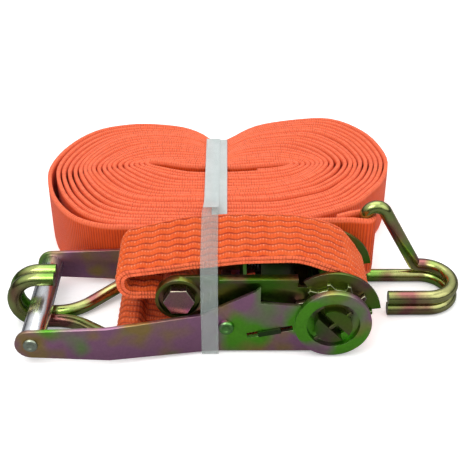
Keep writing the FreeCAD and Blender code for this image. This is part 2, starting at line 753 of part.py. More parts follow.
def ribbon(points, radii, thickness, width, start):
    """Webbing seen edge on in the XZ plane, spread along +Y from Y = start."""
    half = thickness / 2
    sides = []
    for sign in (1, -1):
        moved = []
        for i, point in enumerate(points):
            before = (point - points[max(i - 1, 0)])
            after = (points[min(i + 1, len(points) - 1)] - point)
            before = before if before.Length > 0 else after
            after = after if after.Length > 0 else before
            first = before.normalize().cross(Vector(0, 1, 0))
            second = after.normalize().cross(Vector(0, 1, 0))
            square = (first + second).normalize()
            moved.append(point + square * (sign * half / square.dot(first)))
        bends = []
        for i in range(1, len(points) - 1):
            before = points[i] - points[i - 1]
            after = points[i + 1] - points[i]
            bend = math.copysign(1, before.cross(after).dot(Vector(0, 1, 0)))
            bends.append(radii[i - 1] + bend * sign * half)
        sides.append(bent_path(moved, bends))
    first, second = sides
    closing = [Part.LineSegment(first.Vertexes[k].Point, second.Vertexes[k].Point).toShape()
               for k in (0, -1)]
    outline = Part.Wire(Part.sortEdges(first.Edges + second.Edges + closing)[0])
    face = Part.Face(outline)
    face.translate(Vector(0, start, 0))
    return face.extrude(Vector(0, width, 0))


def eye(axis, inner, outer, width, start):
    """Webbing wrapped round a bar that runs along Y."""
    place = Vector(axis.x, start, axis.z)
    ring = Part.makeCylinder(outer, width, place, Vector(0, 1, 0))
    return ring.cut(Part.makeCylinder(inner, width, place, Vector(0, 1, 0)))


wire = size("hook_wire")
pair = wire + size("hook_pair_gap") / 2
corner = wire + size("hook_corner_inside")
web = size("webbing_thickness")
sewn = size("sewn_thickness")
clear = size("soft_clearance")
width = size("webbing_width")
span = width / 2 + corner - size("hook_corner_cover")

# left hook: bar across Y inside the eye of the short strap, wires bent round the grip
bar_height = size("under_height") + web + clear + wire
bar_reach = -size("left_hook_bar_reach")
bend = size("left_hook_bend")
bend_left = -size("grip_reach") - bend
top = wire + 2 * bend
neck = -size("left_hook_neck")


def shoulder_length(run_out, run_in):
    """Straight stretch that turns one wide bend at the bar into two bends of one radius."""
    lean = math.atan2(run_in, run_out)
    return corner * (1 + math.tan(lean / 2))


shoulder = shoulder_length(bar_reach - neck, span - pair)
half_path = [Vector(-size("left_hook_tip"), pair, top), Vector(bend_left, pair, top),
             Vector(bend_left, pair, wire), Vector(neck, pair, wire),
             Vector(bar_reach - shoulder - 0.5, span, bar_height), Vector(bar_reach, span, bar_height)]
other_half = [Vector(p.x, -p.y, p.z) for p in reversed(half_path)]
half_radii = [bend, bend, 2 * bend, corner, corner]
bent_wire("hook_left", half_path + other_half, half_radii + half_radii[::-1])

# right hook: bar upright inside the eye of the long strap, wires stacked and bent in plan
front = grip_out + size("roll_gap")
bar_x, bar_y = size("right_hook_bar_x"), front - size("right_hook_bar_lead")
r_bend = size("right_hook_bend")
tip_y = bar_y - 2 * r_bend
low, high, bar_top = wire, wire + 2 * pair, wire + 2 * span
reach = size("right_hook_reach")
right_neck = size("right_hook_neck")
shoulder = shoulder_length(right_neck - bar_x, bar_top - high)
lower = [Vector(size("right_hook_tip"), tip_y, low), Vector(reach, tip_y, low),
         Vector(reach, bar_y, low), Vector(bar_x, bar_y, low)]
upper = [Vector(bar_x, bar_y, bar_top), Vector(bar_x + shoulder + 0.5, bar_y, bar_top),
         Vector(right_neck, bar_y, high),
         Vector(reach, bar_y, high), Vector(reach, tip_y, high),
         Vector(size("right_hook_tip"), tip_y, high)]
bent_wire("hook_right", lower + upper,
          [r_bend, r_bend, corner, corner, corner, corner / 2, r_bend, r_bend])

# short strap: eye on the bolt spacer, sewn run to the fold, run over the frame
half_width = width / 2
fold_x = -size("fold_reach") + sewn / 2
fold_low, fold_high = size("fold_bottom"), size("fold_top")
fold_radius = (fold_high - fold_low) / 2 - clear
eye_inner = size("spacer_radius") + clear
arch = size("arch_height")
arch_end = Vector(-size("arch_end"), 0, arch - size("arch_end_fall"))
strap_eye = eye(bolt_axis, eye_inner, eye_inner + web, width, -half_width)
sewn_path = [Vector(bolt_axis.x - eye_inner - web / 2, 0, fold_low), Vector(fold_x, 0, fold_low),
             Vector(fold_x, 0, fold_high),
             Vector(-size("arch_left"), 0, arch - size("arch_left_sag")),
             Vector(-size("arch_right"), 0, arch), arch_end]
sewn_bends = [fold_radius, fold_radius, size("arch_left_bend"), size("arch_right_bend")]
top_run = ribbon(sewn_path, sewn_bends, sewn, width, -half_width)
shape_piece("short_strap_top", strap_eye.fuse(top_run))

# the turn round the spindle end and the run below the handle
under_mid = size("under_height") + web / 2
turn_radius = H - under_mid
turn_path = [arch_end + Vector(size("turn_gap"), 0, -size("turn_gap") / 2),
             Vector(size("turn_shoulder"), 0, arch - size("turn_shoulder_fall")),
             Vector(turn_radius, 0, H + size("turn_side_rise")), Vector(turn_radius, 0, under_mid),
             Vector(-size("turn_return"), 0, under_mid)]
turn_bends = [size("turn_shoulder_bend"), size("turn_side_bend"), turn_radius - size("turn_slack")]
shape_piece("short_strap_turn", ribbon(turn_path, turn_bends, web, width, -half_width))
eye_stub = bar_reach + size("eye_stub")
under_path = [Vector(-size("turn_return") - size("under_gap"), 0, under_mid),
              Vector(eye_stub + size("under_gap"), 0, under_mid)]
shape_piece("short_strap_under", ribbon(under_path, [], web, width, -half_width))
bar_axis = Vector(bar_reach, 0, bar_height)
bar_eye = eye(bar_axis, wire + clear, wire + clear + web, width, -half_width)
stub = Part.makeBox(eye_stub - bar_reach, width, web, Vector(bar_reach, -half_width, size("under_height")))
stub = stub.cut(Part.makeCylinder(wire + clear, width, Vector(bar_reach, -half_width, bar_height),
                                  Vector(0, 1, 0)))
shape_piece("short_strap_eye", bar_eye.fuse(stub))

# ---------------------------------------------------------------- long strap
left, right = size("roll_left"), size("roll_right")
pinch_x, pinch_y = size("roll_pinch_x"), size("roll_pinch_y")
back_left, back_right = size("roll_back_left"), size("roll_back_right")
pinch_half, shoulder_bend = size("roll_pinch_half"), size("roll_shoulder_bend")
front_bend = size("roll_right_front_bend")
plan = [(left, front, size("roll_left_front_bend")), (left, back_left, size("roll_left_back_bend")),
        (pinch_x - pinch_half, back_left, shoulder_bend),
        (pinch_x, pinch_y, size("roll_pinch_bend")),
        (pinch_x + pinch_half, back_right, shoulder_bend),
        (right, back_right, size("roll_right_back_bend")),
        (right, front + size("roll_right_front_rise"), front_bend),
        (right - size("roll_right_front_run"), front + size("roll_right_front_step"), front_bend)]


def rounded_outline(corners, height, bottom):
    """A closed plan outline with rounded corners, extruded upwards."""
    points = [Vector(x, y, bottom) for x, y, radius in corners]
    radii = [radius for x, y, radius in corners]
    start = (points[-1] + points[0]) * 0.5
    path = bent_path([start] + points + [start], radii)
    return Part.Face(path).extrude(Vector(0, 0, height))


groove = size("band_groove")
band_x, band_width = size("band_x"), size("band_width")
band = size("band_thickness")
roll = rounded_outline(plan, width, 0)
slot_width = band_width + 2 * clear
core_front, core_back = front + 2 * groove, pinch_y - 2 * groove
notch = Part.makeBox(slot_width, 2 * back_right, width, Vector(band_x - slot_width / 2, 0, 0))
notch = notch.cut(Part.makeBox(slot_width, core_back - core_front, width - 2 * groove,
                               Vector(band_x - slot_width / 2, core_front, groove)))
shape_piece("long_strap_roll", roll.cut(notch))

tail_bottom = (low + bar_top - width) / 2
tail_start = Vector(right - size("tail_back"), front + size("tail_step"), 0)
hook_axis = Vector(bar_x, bar_y, 0)
along = (hook_axis - tail_start).normalize()
square = Vector(-along.y, along.x, 0)
eye_outer = wire + clear + web
tail_far = hook_axis - along * (wire + clear + web / 2)
corners = [tail_start + square * web, tail_start - square * web, tail_far - square * web,
           tail_far + square * web]
tail = Part.Face(Part.makePolygon(corners + corners[:1])).extrude(Vector(0, 0, width))
ring = Part.makeCylinder(eye_outer, width, hook_axis)
tail = tail.fuse(ring).cut(Part.makeCylinder(wire + clear, width, hook_axis))
tail.translate(Vector(0, 0, tail_bottom))
shape_piece("long_strap_tail", tail.cut(roll))


# ---------------------------------------------------------------- band
def band_loop(label, corners):
    """A thin closed loop in the YZ plane."""
    points = [Vector(band_x - band_width / 2, y, z) for y, z in corners]
    outer = Part.Face(Part.makePolygon(points + points[:1]))
    inner = outer.makeOffset2D(-band, 2)
    loop = outer.cut(inner)
    return shape_piece(label, loop.extrude(Vector(band_width, 0, 0)))


gap = size("band_gap")
low_roll, top_roll = groove / 2 + gap, width - groove + band + gap
band_loop("band_roll", [(core_front - gap - band, low_roll), (core_back + gap + band, low_roll),
                        (core_back + gap + band, top_roll), (core_front - gap - band, top_roll)])
low_front, top_front = gap, top_roll + band + gap
over_strap = arch + sewn / 2 + 2 * clear
plate_face = handle_out + 5 * clear
band_loop("band_front", [
    (core_back + 2 * gap + 2 * band, low_front), (core_back + 2 * gap + 2 * band, top_front),
    (core_front - 3 * gap - 2 * band, top_front), (half_width + size("band_far_slack"), over_strap),
    (-half_width - size("band_near_slack"), over_strap - size("band_tilt")),
    (-frame_out - size("flange_reach") - size("band_flange_slack"),
     value_of(FRAME_TOP) + size("band_near_slack")),
    (-plate_face, size("horn_root_top")), (-plate_face, low_front)])

# ---------------------------------------------------------------- checks and export
doc.recompute()
for obj in doc.Objects:
    if "Invalid" in obj.State or "Error" in obj.State:
        raise RuntimeError("%s is not sound: %s" % (obj.Name, obj.State))
for obj in finished:
    if obj.Shape.isNull() or not obj.Shape.isValid() or not obj.Shape.Solids:
        raise RuntimeError("%s has no sound solid" % obj.Label)

box = FreeCAD.BoundBox()
for obj in finished:
    box.add(obj.Shape.optimalBoundingBox(False))
shift = Vector(-box.Center.x, -box.Center.y, -box.ZMin)
os.makedirs("parts", exist_ok=True)
for obj in finished:
    obj.Placement = Placement(shift, Rotation()).multiply(obj.Placement)
doc.recompute()
for obj in finished:
    obj.Shape.exportStep("parts/%s.step" % obj.Label)
    print("%-22s volume %9.1f solids %d" % (obj.Label, obj.Shape.Volume, len(obj.Shape.Solids)))
print("size %.1f x %.1f x %.1f" % (box.XLength, box.YLength, box.ZLength))
print("shift %.3f %.3f %.3f" % tuple(shift))
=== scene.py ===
"""Looks of a packed ratchet tie down: finishes, webbing, band, floor, light and camera.

Sizes are millimetres and are read from the ratchet's own datum: X and Y from the spindle
axis and the middle of the ratchet, Z from the surface that it stands on. Meshes are in
metres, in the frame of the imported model.
"""
from __future__ import annotations

import json
import logging
import math
from dataclasses import dataclass
from functools import reduce

import bmesh
import bpy
import numpy as np
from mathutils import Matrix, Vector

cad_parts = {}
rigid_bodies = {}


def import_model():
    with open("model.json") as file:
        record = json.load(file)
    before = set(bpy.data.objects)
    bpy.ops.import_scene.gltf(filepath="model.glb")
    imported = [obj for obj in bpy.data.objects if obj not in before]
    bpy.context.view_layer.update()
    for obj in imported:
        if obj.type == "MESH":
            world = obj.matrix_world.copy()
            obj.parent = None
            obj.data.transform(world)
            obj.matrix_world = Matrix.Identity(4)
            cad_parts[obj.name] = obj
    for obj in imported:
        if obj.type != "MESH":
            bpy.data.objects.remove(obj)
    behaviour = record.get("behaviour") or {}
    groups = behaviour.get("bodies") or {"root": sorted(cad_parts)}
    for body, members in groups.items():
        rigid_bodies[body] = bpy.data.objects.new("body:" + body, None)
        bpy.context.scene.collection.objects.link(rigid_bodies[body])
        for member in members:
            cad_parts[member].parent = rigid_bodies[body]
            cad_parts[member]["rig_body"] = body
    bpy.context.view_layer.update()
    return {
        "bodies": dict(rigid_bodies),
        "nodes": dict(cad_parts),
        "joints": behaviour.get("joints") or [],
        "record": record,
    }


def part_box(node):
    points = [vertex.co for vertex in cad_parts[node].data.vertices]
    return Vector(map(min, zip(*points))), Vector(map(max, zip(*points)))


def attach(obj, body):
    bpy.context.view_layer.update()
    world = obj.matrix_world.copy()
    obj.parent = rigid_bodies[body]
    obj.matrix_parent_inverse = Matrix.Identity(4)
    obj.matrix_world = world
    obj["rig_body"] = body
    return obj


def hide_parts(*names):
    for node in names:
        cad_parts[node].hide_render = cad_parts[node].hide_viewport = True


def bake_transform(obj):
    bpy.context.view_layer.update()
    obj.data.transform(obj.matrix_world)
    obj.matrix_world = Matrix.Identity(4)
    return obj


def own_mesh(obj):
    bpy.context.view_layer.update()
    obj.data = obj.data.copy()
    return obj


LOG = logging.getLogger("ratchet_tie_down")
MM = 0.001
STRAP_ATTRIBUTE = "strap"
EDGE_ATTRIBUTE = "rounded_edge"
Colour = tuple[float, float, float]
Corner = tuple[float, float]
Inputs = dict[str | int, object]


@dataclass(frozen=True)
class Datum:
    """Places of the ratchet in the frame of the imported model, in metres."""

    spindle: Vector
    hook_bar: Vector

    @classmethod
    def from_frame(cls, frame: dict) -> "Datum":
        """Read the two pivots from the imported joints.


        Returns:
            The datum of this ratchet.
        """
        pivots = {j["name"]: Vector(j["pos_m"]) for j in frame["joints"] if "pos_m" in j}
        return cls(pivots["handle_fold"], pivots["hook_right_swing"])

    def at(self, x: float, y: float, z: float) -> Vector:
        """A point given in millimetres from the datum, in metres in the frame."""
        return Vector((self.spindle.x + x * MM, self.spindle.y + y * MM, z * MM))

    def shift(self) -> np.ndarray:
        """What to add to a point in metres from the datum."""
        return np.array([self.spindle.x, self.spindle.y, 0.0])


def put(name: str, data: bpy.types.ID) -> bpy.types.Object:
    """Put a mesh, a lamp or a camera into the scene.

    Args:
        name: the object's name.
        data: what the object shows.

    Returns:
        The new object.
    """
    thing = bpy.data.objects.new(name, data)
    bpy.context.scene.collection.objects.link(thing)
    return thing


# ------------------------------------------------------------------ shader building
def rgba(colour: Colour) -> tuple[float, float, float, float]:
    """A colour with full alpha."""
    return (*colour, 1.0)


class Nodes:
    """Adds and links the nodes of one shader tree."""

    def __init__(self, tree: bpy.types.NodeTree) -> None:
        """Hold the tree to build in."""
        self.tree = tree

    def feed(self, node: bpy.types.Node, inputs: Inputs) -> bpy.types.Node:
        """Set or link some inputs of a node.

        Args:
            node: the node.
            inputs: socket name or number to a value or a socket to link.

        Returns:
            The same node.
        """
        for key, value in inputs.items():
            if isinstance(value, bpy.types.NodeSocket):
                self.tree.links.new(value, node.inputs[key])
            else:
                node.inputs[key].default_value = value
        return node

    def add(self, kind: str, inputs: Inputs | None = None, **settings: object) -> bpy.types.Node:
        """Add a node.

        Args:
            kind: the node's Blender type.
            inputs: socket name or number to a value or a socket to link.
            **settings: properties of the node itself.

        Returns:
            The new node.
        """
        node = self.tree.nodes.new(kind)
        for name, value in settings.items():
            setattr(node, name, value)
        return self.feed(node, inputs or {})

    def group(self, tree: bpy.types.NodeTree, inputs: Inputs) -> bpy.types.NodeOutputs:
        """Place a shared group with its own values."""
        return self.add("ShaderNodeGroup", inputs, node_tree=tree).outputs

    def place(self) -> bpy.types.NodeSocket:
        """Place on the piece, in metres."""
        return self.add("ShaderNodeTexCoord").outputs["Object"]

    def math(self, operation: str, first: object, second: object = 0.0) -> bpy.types.NodeSocket:
        """One arithmetic step on two values."""
        return self.add("ShaderNodeMath", {0: first, 1: second}, operation=operation).outputs[0]

    def times(self, *values: object) -> bpy.types.NodeSocket:
        """The product of some values."""
        return reduce(lambda first, second: self.math("MULTIPLY", first, second), values)

    def plus(self, *values: object) -> bpy.types.NodeSocket:
        """The sum of some values."""
        return reduce(lambda first, second: self.math("ADD", first, second), values)

    def vector(self, operation: str, *values: object) -> bpy.types.NodeOutputs:
        """One step on one or two vectors."""
        return self.add("ShaderNodeVectorMath", dict(enumerate(values)),
                        operation=operation).outputs

    def mix(self, factor: object, first: object, second: object,
            blend: str = "MIX") -> bpy.types.NodeSocket:
        """Mix two colours.

        Args:
            factor: the share of the second colour, a number or a socket.
            first: a colour or a socket.
            second: a colour or a socket.
            blend: how the second colour acts on the first.

        Returns:
            The mixed colour.
        """
        pair = [value if isinstance(value, bpy.types.NodeSocket) else rgba(value)
                for value in (first, second)]
        return self.add("ShaderNodeMix", {0: factor, 6: pair[0], 7: pair[1]}, data_type="RGBA",
                        blend_type=blend).outputs[2]

    def spread(self, value: object, low: float, high: float,
               to_low: float = 0.0, to_high: float = 1.0) -> bpy.types.NodeSocket:
        """Stretch the range from low to high over a new range, clamped.

        Args:
            value: the socket to stretch.
            low: the value that becomes to_low.
            high: the value that becomes to_high.
            to_low: the start of the new range.
            to_high: the end of the new range.

        Returns:
            The stretched value.
        """
        return self.add("ShaderNodeMapRange", {
            "Value": value, "From Min": low, "From Max": high,
            "To Min": to_low, "To Max": to_high}).outputs[0]

    def noise(self, vector: object, scale: float, detail: float = 3.0) -> bpy.types.NodeSocket:
        """Cloudy value between 0 and 1."""
        return self.add("ShaderNodeTexNoise", {
            "Vector": vector, "Scale": scale, "Detail": detail, "Roughness": 0.55}).outputs["Fac"]

    def bump(self, height: object, strength: float, depth: float) -> bpy.types.NodeSocket:
        """A normal tilted by a height whose whole range is a depth in millimetres."""
        return self.add("ShaderNodeBump", {
            "Strength": strength, "Distance": depth * MM, "Height": height}).outputs[0]


FLOAT, COLOUR, VECTOR = "NodeSocketFloat", "NodeSocketColor", "NodeSocketVector"


def new_group(name: str, inputs: dict[str, str], outputs: tuple[str, ...]) -> tuple[
        Nodes, bpy.types.NodeOutputs, bpy.types.Node]:
    """Start a shader node group.

    Args:
        name: the group's name.
        inputs: input name to socket type.
        outputs: the names of the outputs; one named Color is a colour, the others are numbers.

    Returns:
        The builder of its tree, the sockets of its inputs and its output node.
    """
    tree = bpy.data.node_groups.new(name, "ShaderNodeTree")
    for label, kind in inputs.items():
        tree.interface.new_socket(name=label, in_out="INPUT", socket_type=kind)
    for label in outputs:
        tree.interface.new_socket(name=label, in_out="OUTPUT",
                                  socket_type=COLOUR if label == "Color" else FLOAT)
    nodes = Nodes(tree)
    return nodes, nodes.add("NodeGroupInput").outputs, nodes.add("NodeGroupOutput")


@dataclass
class Effects:
    """The shader node groups that several finishes share, each built once.

    Attributes:
        wide_patches: noise scale of the green patches on zinc.
        other_patches: noise scale of the violet patches.
        other_place: how far the second noise is from the first.
        centre_fade: width of the edge of the greener centre, in metres.
        centre_share: how much greener the centre is.
        edge_patches: noise scale of the patches on the bright rounded edges, which are partly scuffed
            by handling and partly painted highlight.
        fading: noise scale of the fading of webbing.
        fibres: noise scale of its loose fibres.
        threads_a_rib: fine threads in each rib.
        twill_height: height of the fine threads.
    """

    wide_patches: float = 26.0
    other_patches: float = 38.0
    other_place: tuple[float, float, float] = (3.1, 1.7, 5.3)
    centre_fade: float = 0.012
    centre_share: float = 0.22
    edge_patches: float = 260.0
    fading: float = 55.0
    fibres: float = 380.0
    threads_a_rib: float = 6.0
    twill_height: float = 0.25

    def __post_init__(self) -> None:
        """Build the groups."""
        self.passivation = self._passivation()
        self.edge_wear_and_highlight = self._edge_wear_and_highlight()
        self.weave = self._weave()

    def _passivation(self) -> bpy.types.NodeTree:
        """Drifting interference colours of yellow passivated zinc."""
        nodes, given, sink = new_group(
            "passivation",
            {"Vector": VECTOR, "Base": COLOUR, "Green": COLOUR, "Violet": COLOUR,
             "Green Share": FLOAT, "Violet Share": FLOAT, "Centre": VECTOR, "Reach": FLOAT},
            ("Color", "Dull"))
        wide = nodes.noise(given["Vector"], self.wide_patches, 1.5)
        far = nodes.vector("ADD", given["Vector"], self.other_place)[0]
        other = nodes.noise(far, self.other_patches, 1.5)
        fine = nodes.noise(given["Vector"], 500.0)
        offset = nodes.vector("SUBTRACT", given["Vector"], given["Centre"])[0]
        flat = nodes.vector("MULTIPLY", offset, (1.0, 0.0, 1.0))[0]
        radius = nodes.vector("LENGTH", flat)["Value"]
        nearness = nodes.math("SUBTRACT", given["Reach"], radius)
        centre = nodes.spread(nearness, 0.0, self.centre_fade, 0.0, self.centre_share)
        green = nodes.plus(wide, given["Green Share"], centre)
        violet = nodes.plus(other, given["Violet Share"])
        colour = nodes.mix(nodes.spread(violet, 0.44, 0.62), given["Base"], given["Violet"])
        colour = nodes.mix(nodes.spread(green, 0.50, 0.66), colour, given["Green"])
        shade = nodes.add("ShaderNodeCombineColor", {
            i: nodes.spread(fine, 0.3, 0.7, 0.90, 1.06) for i in range(3)}).outputs[0]
        nodes.feed(sink, {"Color": nodes.mix(1.0, colour, shade, "MULTIPLY"),
                          "Dull": nodes.spread(fine, 0.3, 0.75)})
        return nodes.tree

    def _edge_wear_and_highlight(self) -> bpy.types.NodeTree:
        """Mask of the rounded edges painted bright: partly scuffed by handling, partly painted
        highlight.
        """
        nodes, given, sink = new_group(
            "edge_wear_and_highlight", {"Vector": VECTOR, "Amount": FLOAT}, ("Mask",))
        rounded = nodes.add("ShaderNodeAttribute", attribute_name=EDGE_ATTRIBUTE).outputs["Fac"]
        patchy = nodes.spread(nodes.noise(given["Vector"], self.edge_patches, 4.0), 0.3, 0.6, 0.35)
        nodes.feed(sink, {"Mask": nodes.times(rounded, patchy, given["Amount"])})
        return nodes.tree

    def _weave(self) -> bpy.types.NodeTree:
        """Ribs along the webbing crossed by its weft, with painted shade in their grooves, from the
        webbing's own coordinates.
        """
        nodes, given, sink = new_group(
            "webbing_weave",
            {name: FLOAT for name in ("Rib Pitch", "Weft Pitch", "Wave", "Wave Pitch",
                                      "Rib Share", "Weft Share")},
            ("Height", "Valley Shade", "Cloud", "Side", "Dots", "Stitch"))
        strap = nodes.add("ShaderNodeAttribute", attribute_name=STRAP_ATTRIBUTE).outputs["Vector"]
        along, across, side = nodes.add("ShaderNodeSeparateXYZ", {0: strap}).outputs[:3]
        weft_angle = nodes.times(nodes.math("DIVIDE", along, given["Weft Pitch"]), math.tau)
        weft = nodes.math("SINE", weft_angle)
        waves = nodes.times(nodes.math("DIVIDE", along, given["Wave Pitch"]), math.tau)
        place = nodes.plus(across, nodes.times(nodes.math("SINE", waves), given["Wave"]))
        rib_angle = nodes.times(nodes.math("DIVIDE", place, given["Rib Pitch"]), math.tau)
        rib = nodes.math("COSINE", rib_angle)
        twill = nodes.math("SINE", nodes.plus(nodes.times(rib_angle, self.threads_a_rib),
                                              nodes.times(weft_angle, 1.5)))
        height = nodes.plus(nodes.times(rib, given["Rib Share"]),
                            nodes.times(twill, self.twill_height),
                            nodes.times(weft, given["Weft Share"]))
        ribbed = nodes.math("GREATER_THAN", given["Rib Share"], 0.3)
        # painted shade: darker in the grooves between the ribs and between the weft threads
        groove = nodes.times(nodes.spread(rib, -0.45, -0.95), ribbed)
        between = nodes.times(nodes.spread(weft, -0.3, -0.95), given["Weft Share"])
        fibres = nodes.spread(nodes.noise(strap, self.fibres, 2.0), 0.35, 0.6)
        crest = nodes.times(nodes.spread(rib, 0.6, 0.98), nodes.spread(weft, 0.1, 0.8))
        nodes.feed(sink, {
            "Height": height, "Side": side, "Cloud": nodes.noise(strap, self.fading, 4.0),
            "Valley Shade": nodes.math("MAXIMUM", groove, between),
            "Stitch": nodes.times(crest, ribbed, fibres),
            "Dots": nodes.times(nodes.spread(weft, -0.2, 0.9), fibres, side)})
        return nodes.tree


def new_material(name: str) -> tuple[bpy.types.Material, Nodes, bpy.types.Node]:
    """An empty material with a Principled shader on its output.

    Args:
        name: the material's name.

    Returns:
        The material, the builder of its tree and its shader node.
    """
    material = bpy.data.materials.new(name)
    material.use_nodes = True
    material.node_tree.nodes.clear()
    nodes = Nodes(material.node_tree)
    shader = nodes.add("ShaderNodeBsdfPrincipled")
    nodes.add("ShaderNodeOutputMaterial", {"Surface": shader.outputs[0]})
    return material, nodes, shader


# ------------------------------------------------------------------ finishes
@dataclass(frozen=True)
class PassivatedZinc:
    """Zinc plating with yellow passivation: a metal that drifts from gold to green and violet."""

    name: str
    slot: str = "zinc_sheet"
    base: Colour = (0.33, 0.24, 0.12)
    green: Colour = (0.12, 0.25, 0.04)
    violet: Colour = (0.28, 0.14, 0.22)
    worn_and_highlight: Colour = (0.62, 0.66, 0.44)
    green_share: float = 0.0
    violet_share: float = 0.0
    roughness: float = 0.30
    dulled: float = 0.14
    wear_and_highlight: float = 0.7
    bump: float = 0.10
    depth: float = 0.6
    centre: tuple[float, float, float] = (0.0, 0.0, 0.0)
    reach: float = 0.0

    def build(self, effects: Effects) -> bpy.types.Material:
        """Make the material from the shared effects.

        Args:
            effects: the shared shader groups.

        Returns:
            The new material.
        """
        material, nodes, shader = new_material(self.name)
        place = nodes.place()
        tint = nodes.group(effects.passivation, {
            "Vector": place, "Base": rgba(self.base), "Green": rgba(self.green),
            "Violet": rgba(self.violet), "Green Share": self.green_share,
            "Violet Share": self.violet_share, "Centre": self.centre, "Reach": self.reach})
        # bright rounded edges: partly scuffed by handling, partly painted highlight
        wear_and_highlight = nodes.group(effects.edge_wear_and_highlight, {"Vector": place, "Amount": self.wear_and_highlight})
        height = nodes.plus(nodes.times(nodes.noise(place, 900.0), 0.35),
                            nodes.noise(place, 60.0, 2.0))
        nodes.feed(shader, {
            "Base Color": nodes.mix(wear_and_highlight["Mask"], tint["Color"], self.worn_and_highlight),
            "Metallic": 1.0,
            "Roughness": nodes.spread(tint["Dull"], 0.0, 1.0, self.roughness,
                                      self.roughness + self.dulled),
            "Coat Weight": 0.25, "Coat Roughness": 0.18,
            "Normal": nodes.bump(height, self.bump, self.depth)})
        return material


@dataclass(frozen=True)
class BrightZinc:
    """Bright zinc plated bar with drawing lines, duller patches and bright rounded edges, partly
    scuffed by handling and partly painted highlight.
    """

    name: str
    slot: str = "bright_zinc"
    colour: Colour = (0.80, 0.81, 0.83)
    dull: Colour = (0.60, 0.62, 0.66)
    worn_and_highlight: Colour = (0.92, 0.92, 0.92)
    roughness: float = 0.16
    line_scale: tuple[float, float, float] = (900.0, 14.0, 900.0)

    def build(self, effects: Effects) -> bpy.types.Material:
        """Make the material from the shared effects.

        Args:
            effects: the shared shader groups.

        Returns:
            The new material.
        """
        material, nodes, shader = new_material(self.name)
        place = nodes.place()
        drawn = nodes.add("ShaderNodeMapping", {"Vector": place, "Scale": self.line_scale})
        lines = nodes.noise(drawn.outputs[0], 1.0, 2.0)
        cloud = nodes.spread(nodes.noise(place, 90.0), 0.3, 0.7)
        # bright rounded edges: partly scuffed by handling, partly painted highlight
        wear_and_highlight = nodes.group(effects.edge_wear_and_highlight, {"Vector": place, "Amount": 0.4})
        nodes.feed(shader, {
            "Base Color": nodes.mix(wear_and_highlight["Mask"], nodes.mix(cloud, self.dull, self.colour),
                                    self.worn_and_highlight),
            "Metallic": 1.0,
            "Roughness": nodes.spread(lines, 0.25, 0.75, self.roughness, self.roughness + 0.16),
            "Normal": nodes.bump(lines, 0.08, 0.4)})
        return material


@dataclass(frozen=True)
class PlainSteel:
    """Oiled spring steel."""

    name: str
    slot: str = "spring_steel"
    colour: Colour = (0.34, 0.34, 0.35)
    dark: Colour = (0.187, 0.187, 0.1925)
    worn_and_highlight: Colour = (0.7, 0.7, 0.7)
    roughness: float = 0.32

    def build(self, effects: Effects) -> bpy.types.Material:
        """Make the material from the shared effects.

        Args:
            effects: the shared shader groups.

        Returns:
            The new material.
        """
        material, nodes, shader = new_material(self.name)
        place = nodes.place()
        cloud = nodes.noise(place, 300.0, 4.0)
        # bright rounded edges: partly scuffed by handling, partly painted highlight
        wear_and_highlight = nodes.group(effects.edge_wear_and_highlight, {"Vector": place, "Amount": 0.6})
        shade = nodes.mix(nodes.spread(cloud, 0.3, 0.7), self.dark, self.colour)
        nodes.feed(shader, {
            "Base Color": nodes.mix(wear_and_highlight["Mask"], shade, self.worn_and_highlight),
            "Metallic": 1.0,
            "Roughness": nodes.spread(cloud, 0.2, 0.8, self.roughness, self.roughness + 0.2),
            "Normal": nodes.bump(cloud, 0.1, 0.3)})
        return material


@dataclass(frozen=True)
class Webbing:
    """Woven polyester webbing, dyed orange; pitches, wave and depth are in millimetres."""

    name: str
    colour: Colour = (0.76, 0.095, 0.008)
    # dark colour of the painted shade in the grooves, and of the dots along the edges
    valley_shade_and_dots: Colour = (0.36, 0.020, 0.002)
    edge: Colour = (0.90, 0.150, 0.055)
    faded: Colour = (0.88, 0.20, 0.06)
    thread: Colour = (0.92, 0.36, 0.20)
    rib_pitch: float = 6.7
    weft_pitch: float = 2.1
    wave: float = 0.0
    wave_pitch: float = 12.0
    rib_share: float = 0.5
    weft_share: float = 0.25
    bump: float = 0.8
    depth: float = 0.7

    def build(self, effects: Effects) -> bpy.types.Material:
        """Make the material from the shared effects.

        Args:
            effects: the shared shader groups.

        Returns:
            The new material.
        """
        material, nodes, shader = new_material(self.name)
        weave = nodes.group(effects.weave, {
            "Rib Pitch": self.rib_pitch * MM, "Weft Pitch": self.weft_pitch * MM,
            "Wave": self.wave * MM, "Wave Pitch": self.wave_pitch * MM,
            "Rib Share": self.rib_share, "Weft Share": self.weft_share})
        # painted shade in the grooves of the weave
        shade = nodes.mix(weave["Valley Shade"], self.colour, self.valley_shade_and_dots)
        shade = nodes.mix(nodes.spread(weave["Side"], 0.3, 0.7), shade, self.edge)
        shade = nodes.mix(nodes.spread(weave["Cloud"], 0.35, 0.75, 0.0, 0.35), shade, self.faded)
        shade = nodes.mix(nodes.times(weave["Stitch"], 0.8), shade, self.thread)
        nodes.feed(shader, {
            "Base Color": nodes.mix(nodes.times(weave["Dots"], 0.55), shade, self.valley_shade_and_dots),
            "Roughness": nodes.spread(weave["Cloud"], 0.3, 0.7, 0.50, 0.66),
            "Sheen Weight": 0.06, "Sheen Roughness": 0.4, "Specular IOR Level": 0.25,
            "Normal": nodes.bump(weave["Height"], self.bump, self.depth)})
        return material


